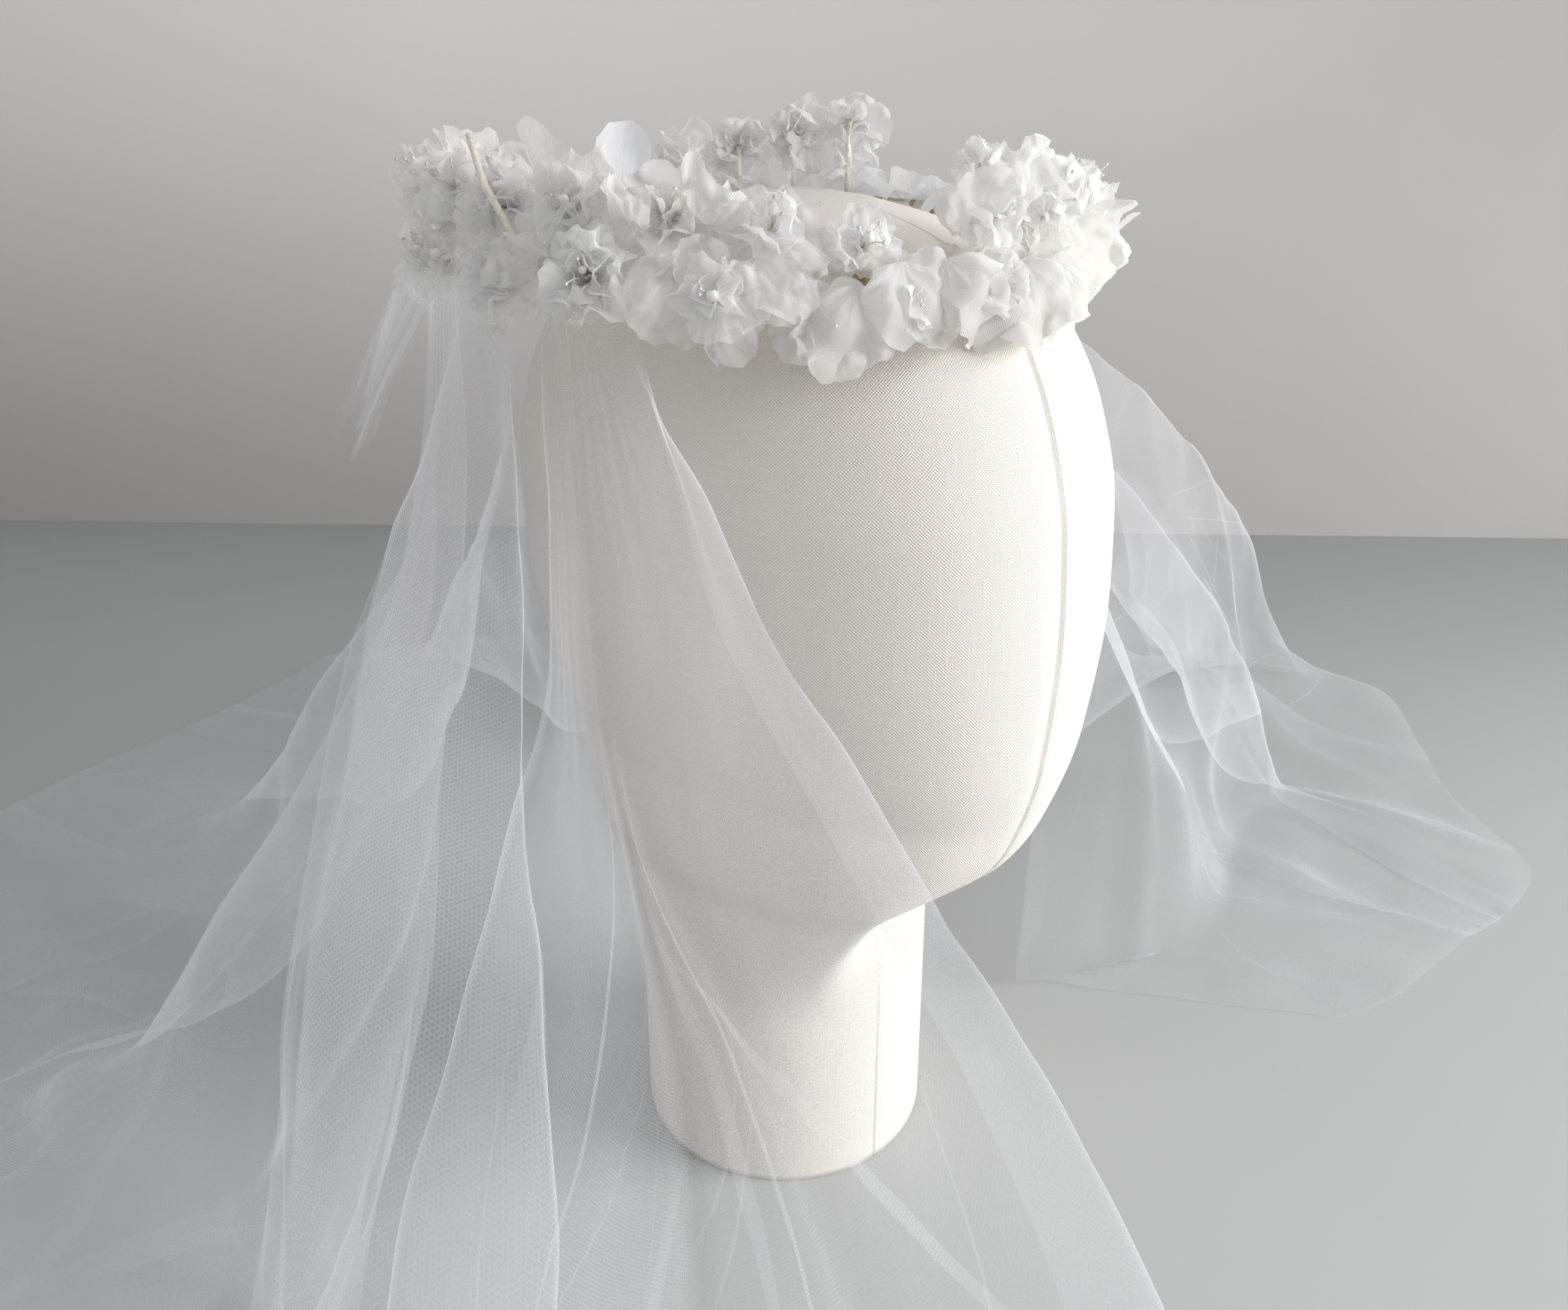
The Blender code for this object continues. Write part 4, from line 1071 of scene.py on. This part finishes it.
def make_blossom(index, blossom, finishes):
    """A silk flower: rings of petals round pearls and stamens, and loose petals beside it."""
    dice = random.Random(100 + index)
    kind = KINDS[blossom.silk]
    slot = SILKS.index(blossom.silk)
    radius = blossom.width / 2
    centre = on_circlet(blossom.azimuth, blossom.out, blossom.up)
    face, right, up = axes_facing(blossom.azimuth + blossom.swing, blossom.facing, blossom.turn)
    wire = on_circlet(blossom.azimuth)
    back = centre - face * 0.0015
    heap = Heap()

    def level_at(turn):
        return right * math.cos(turn) + up * math.sin(turn)

    def add_petal(root, axis, size, silk, roll, curl):
        taper, cup = kind.taper * dice.uniform(0.80, 1.35), kind.cup * dice.uniform(0.2, 1.6)
        grid = petal_grid(size, taper, cup, curl, kind, kind.ruffle * dice.uniform(0.6, 1.5), dice)
        place_petal(heap, grid, root, axis, np.cross(axis, face), silk, roll)

    for step, ring in enumerate(kind.rings):
        count = blossom.petals + ring.more
        for k in range(count):
            level = level_at(math.radians(34.0 * step + 360.0 * k / count + dice.uniform(-24, 24)))
            lean = math.radians(ring.opening + dice.uniform(-24, 18))
            axis = level * math.sin(lean) + face * math.cos(lean)
            mixed = slot if dice.random() < 0.75 else dice.choice((0, 1, 2))
            add_petal(back + level * 0.0010, axis, radius * ring.size * dice.uniform(0.72, 1.14),
                      mixed, dice.uniform(-22, 22), dice.uniform(-0.25, 0.75))
    for _ in range(FILLERS):
        along = outward(blossom.azimuth + 90) * dice.choice((-1, 1))
        root = wire + (back - wire) * dice.uniform(0.20, 0.75)
        axis = along * dice.uniform(0.5, 1.0) + face * dice.uniform(0.1, 0.7) + UP * dice.uniform(-0.6, 0.8)
        add_petal(root, unit(axis), radius * dice.uniform(0.80, 1.15), dice.choice((slot, 1, 2)),
                  dice.uniform(-30, 30), dice.uniform(0.0, 0.6))
    for loose in LOOSE:
        if loose.blossom == index:
            add_loose(heap, loose, dice)
    if TWIG[0] == index:
        heap.add(*tube([on_circlet(*place) for place in TWIG[1:]], [0.0007, 0.0010, 0.0008], 8), STAMEN)
    for _ in range(kind.pearls):
        level = level_at(dice.uniform(0, 6.28))
        place = centre + face * dice.uniform(0.0025, 0.0050) + level * dice.uniform(0.0, 0.0030)
        heap.add(*ball(place, dice.uniform(0.0009, 0.0017)), PEARL)
    for _ in range(kind.stamens):
        level = level_at(dice.uniform(0, 6.28))
        reach = dice.uniform(0.005, 0.009)
        tip = centre + face * reach + level * reach * dice.uniform(0.2, 0.7)
        middle = (centre + tip) / 2 + face * 0.001
        heap.add(*tube([back, middle, tip], [0.00020, 0.00017, 0.00013], 5), STAMEN)
        heap.add(*ball(tip, 0.00050, 4, 6), STAMEN)
    stem_end = wire + unit(back - wire) * TAPE_RADIUS * 0.9
    heap.add(*tube([stem_end, (stem_end + back) / 2, back], [0.0009, 0.0008, 0.0010], 8), STAMEN)
    heap.make(f"silk_blossom_{index:02d}", f"blossom_{index:02d}", finishes)


def make_single_petal(index, petal, finishes):
    """A single stiffened petal on the circlet."""
    dice = random.Random(500 + index)
    angle = math.radians(petal.rise)
    axis = outward(petal.azimuth) * math.cos(angle) + UP * math.sin(angle)
    taper = 1.0 if petal.width > 0.02 else 4.0
    grid = petal_grid(petal.length, taper, 0.10, -petal.curl / 60, SMOOTH_PETAL, 0.02, dice, 14, 25)
    heap = Heap()
    root = on_circlet(petal.azimuth, petal.out, petal.up)
    place_petal(heap, grid, root, axis, np.cross(axis, UP), SILKS.index(petal.silk))
    heap.make(petal.name.replace("petal", "silk_petal"), petal.name, finishes)


# ---------------------------------------------------------------- stage
def make_paint_with_painted_shade(name, colour, roughness, painted_shade, span):
    """Plain paint with painted light and shade; its tones give its lightness at the left and right, near or
    low, then far or high.
    """
    nodes = Nodes(name)
    u, v = nodes.cloth()
    across = nodes.ramp(u, *span)
    near, far = (nodes.plus(nodes.times(across, right - left), left) for left, right in painted_shade)
    away = nodes.ramp(v, 0.0, 1.0)
    # Painted shade: the tone runs from the near or low pair to the far or high pair, as the lamps' light
    # falls off.
    tone = nodes.plus(nodes.times(nodes.math("SUBTRACT", far, near), away), near)
    tone = nodes.times(tone, nodes.ramp(nodes.noise(3.0, 4.0), 0.2, 0.8, 0.97, 1.03))
    shade = nodes.node("ShaderNodeMix", 1.0, data_type="RGBA", blend_type="MULTIPLY")
    nodes.give(shade.inputs[6], (*colour, 1.0))
    nodes.give(shade.inputs[7], tone)
    nodes.surface(Base_Color=shade.outputs[2], Roughness=roughness)
    return nodes


def make_sheet(name, corners, places, finish):
    """A flat rectangle of the stage, with the place of each corner in its paint."""
    mesh = bpy.data.meshes.new(name)
    mesh.from_pydata([tuple(p) for p in corners], [], [(0, 1, 2, 3)])
    mesh.materials.append(finish)
    mesh.uv_layers.new(name="cloth").data.foreach_set("uv", np.array(places, dtype=np.float32).ravel())
    return put_in_scene(name, mesh)


def make_stage():
    """Pale table and pale wall, with painted light and shade in their paint; the wall shows only its front,
    so that no view is blocked by it.
    """
    # Painted shade: the table's paint is lighter near the camera and to the left, darker further back.
    paint = make_paint_with_painted_shade("table_paint_painted_shade", (0.965, 0.995, 1.0), 0.75, ((0.51, 0.415), (0.36, 0.31)), TABLE_PAINTED_SHADE_SPAN)
    near, far = TABLE_ENDS
    corners = [(-STAGE_HALF, near), (STAGE_HALF, near), (STAGE_HALF, far), (-STAGE_HALF, far)]
    floor = make_sheet("table", [in_view(x, y, 0.0) for x, y in corners],
                       [(x, y - TABLE_PAINTED_SHADE_START) for x, y in corners], paint.made)

    # Painted light and shade: the wall's paint is lightest high on the left, darker low down and to the
    # right.
    paint = make_paint_with_painted_shade("wall_paint_painted_shade", (1.0, 0.975, 0.97), 0.9, ((0.41, 0.37), (0.74, 0.31)), WALL_PAINTED_SHADE_SPAN)
    behind = paint.node("ShaderNodeNewGeometry").outputs["Backfacing"]
    paint.show(paint.mixed(behind, paint.shader.outputs[0],
                           paint.node("ShaderNodeBsdfTransparent").outputs[0]))
    slope = math.tan(math.radians(WALL_TURN))
    corners = [(-STAGE_HALF, 0.0), (STAGE_HALF, 0.0), (STAGE_HALF, WALL_HEIGHT), (-STAGE_HALF, WALL_HEIGHT)]
    backdrop = make_sheet("wall", [in_view(x, WALL_AWAY + x * slope, z) for x, z in corners],
                          [(x, z / WALL_PAINTED_SHADE_TOP) for x, z in corners], paint.made)


def aim(made, place, ahead):
    """Puts a light or camera at a place, looking along a direction."""
    made.location = place
    made.rotation_mode = "QUATERNION"
    made.rotation_quaternion = ahead.to_track_quat("-Z", "Y")


def make_lights_and_camera():
    for lamp in LIGHTS:
        light = bpy.data.lights.new(lamp.name, "AREA")
        light.shape = "RECTANGLE"
        light.size = light.size_y = lamp.size
        light.energy = lamp.power
        light.color = lamp.colour
        place = in_view(*lamp.place)
        aim(put_in_scene(lamp.name, light), place, in_view(*lamp.target) - place)
    world = bpy.data.worlds.new("soft_room")
    world.use_nodes = True
    sky = world.node_tree.nodes["Background"]
    sky.inputs["Color"].default_value = SKY_COLOUR
    sky.inputs["Strength"].default_value = SKY_STRENGTH
    bpy.context.scene.world = world
    bpy.context.scene.view_settings.view_transform = "Standard"

    lens = bpy.data.cameras.new("camera")
    lens.sensor_width = SENSOR_WIDTH
    lens.lens = SENSOR_WIDTH * FOCAL_PIXELS / PHOTO_WIDTH
    lens.clip_start = 0.01
    pitch = math.radians(CAMERA_PITCH)
    camera = put_in_scene("camera", lens)
    aim(camera, in_view(*CAMERA_PLACE), in_view(0.0, math.cos(pitch), 0.0) - Vector(UP) * math.sin(pitch))
    bpy.context.scene.camera = camera


def main():
    pale = (0.99, 0.99, 0.99)
    silks = [
        make_silk("satin_silk", (0.99, 0.985, 0.975), (0.95, 0.94, 0.93), 0.42, 0.56, sheer=0.06, twill=0.10),
        make_silk("organza_silk", pale, (0.95, 0.955, 0.96), 0.55, 0.62, sheer=0.45),
        make_silk("ruffled_silk", pale, (0.95, 0.95, 0.955), 0.80, 0.62, sheer=0.32),
        make_silk("matt_silk", (0.95, 0.965, 0.99), (0.92, 0.94, 0.98), 0.80, 0.46),
        make_plain("pearl", (0.80, 0.78, 0.75), (0.88, 0.87, 0.85), 0.25, 300.0, 0.0001, coat=0.6),
        make_plain("stamen", (0.72, 0.66, 0.54), (0.86, 0.83, 0.75), 0.7, 700.0, 0.0003),
    ]
    make_head_form(make_canvas())
    make_circlet(make_plain("floral_tape", (0.20, 0.15, 0.07), (0.44, 0.35, 0.19), 0.7, 900.0, 0.0004))
    make_veil(make_net())
    make_frill(make_wisps())
    for index, blossom in enumerate(BLOSSOMS, start=1):
        make_blossom(index, blossom, silks)
    for index, petal in enumerate(PETALS):
        make_single_petal(index, petal, silks)
    make_stage()
    make_lights_and_camera()
    bounces = bpy.context.scene.cycles
    bounces.transparent_max_bounces = 32   # the net lies in many layers
    bounces.max_bounces = 12
    bounces.diffuse_bounces = 6


main()
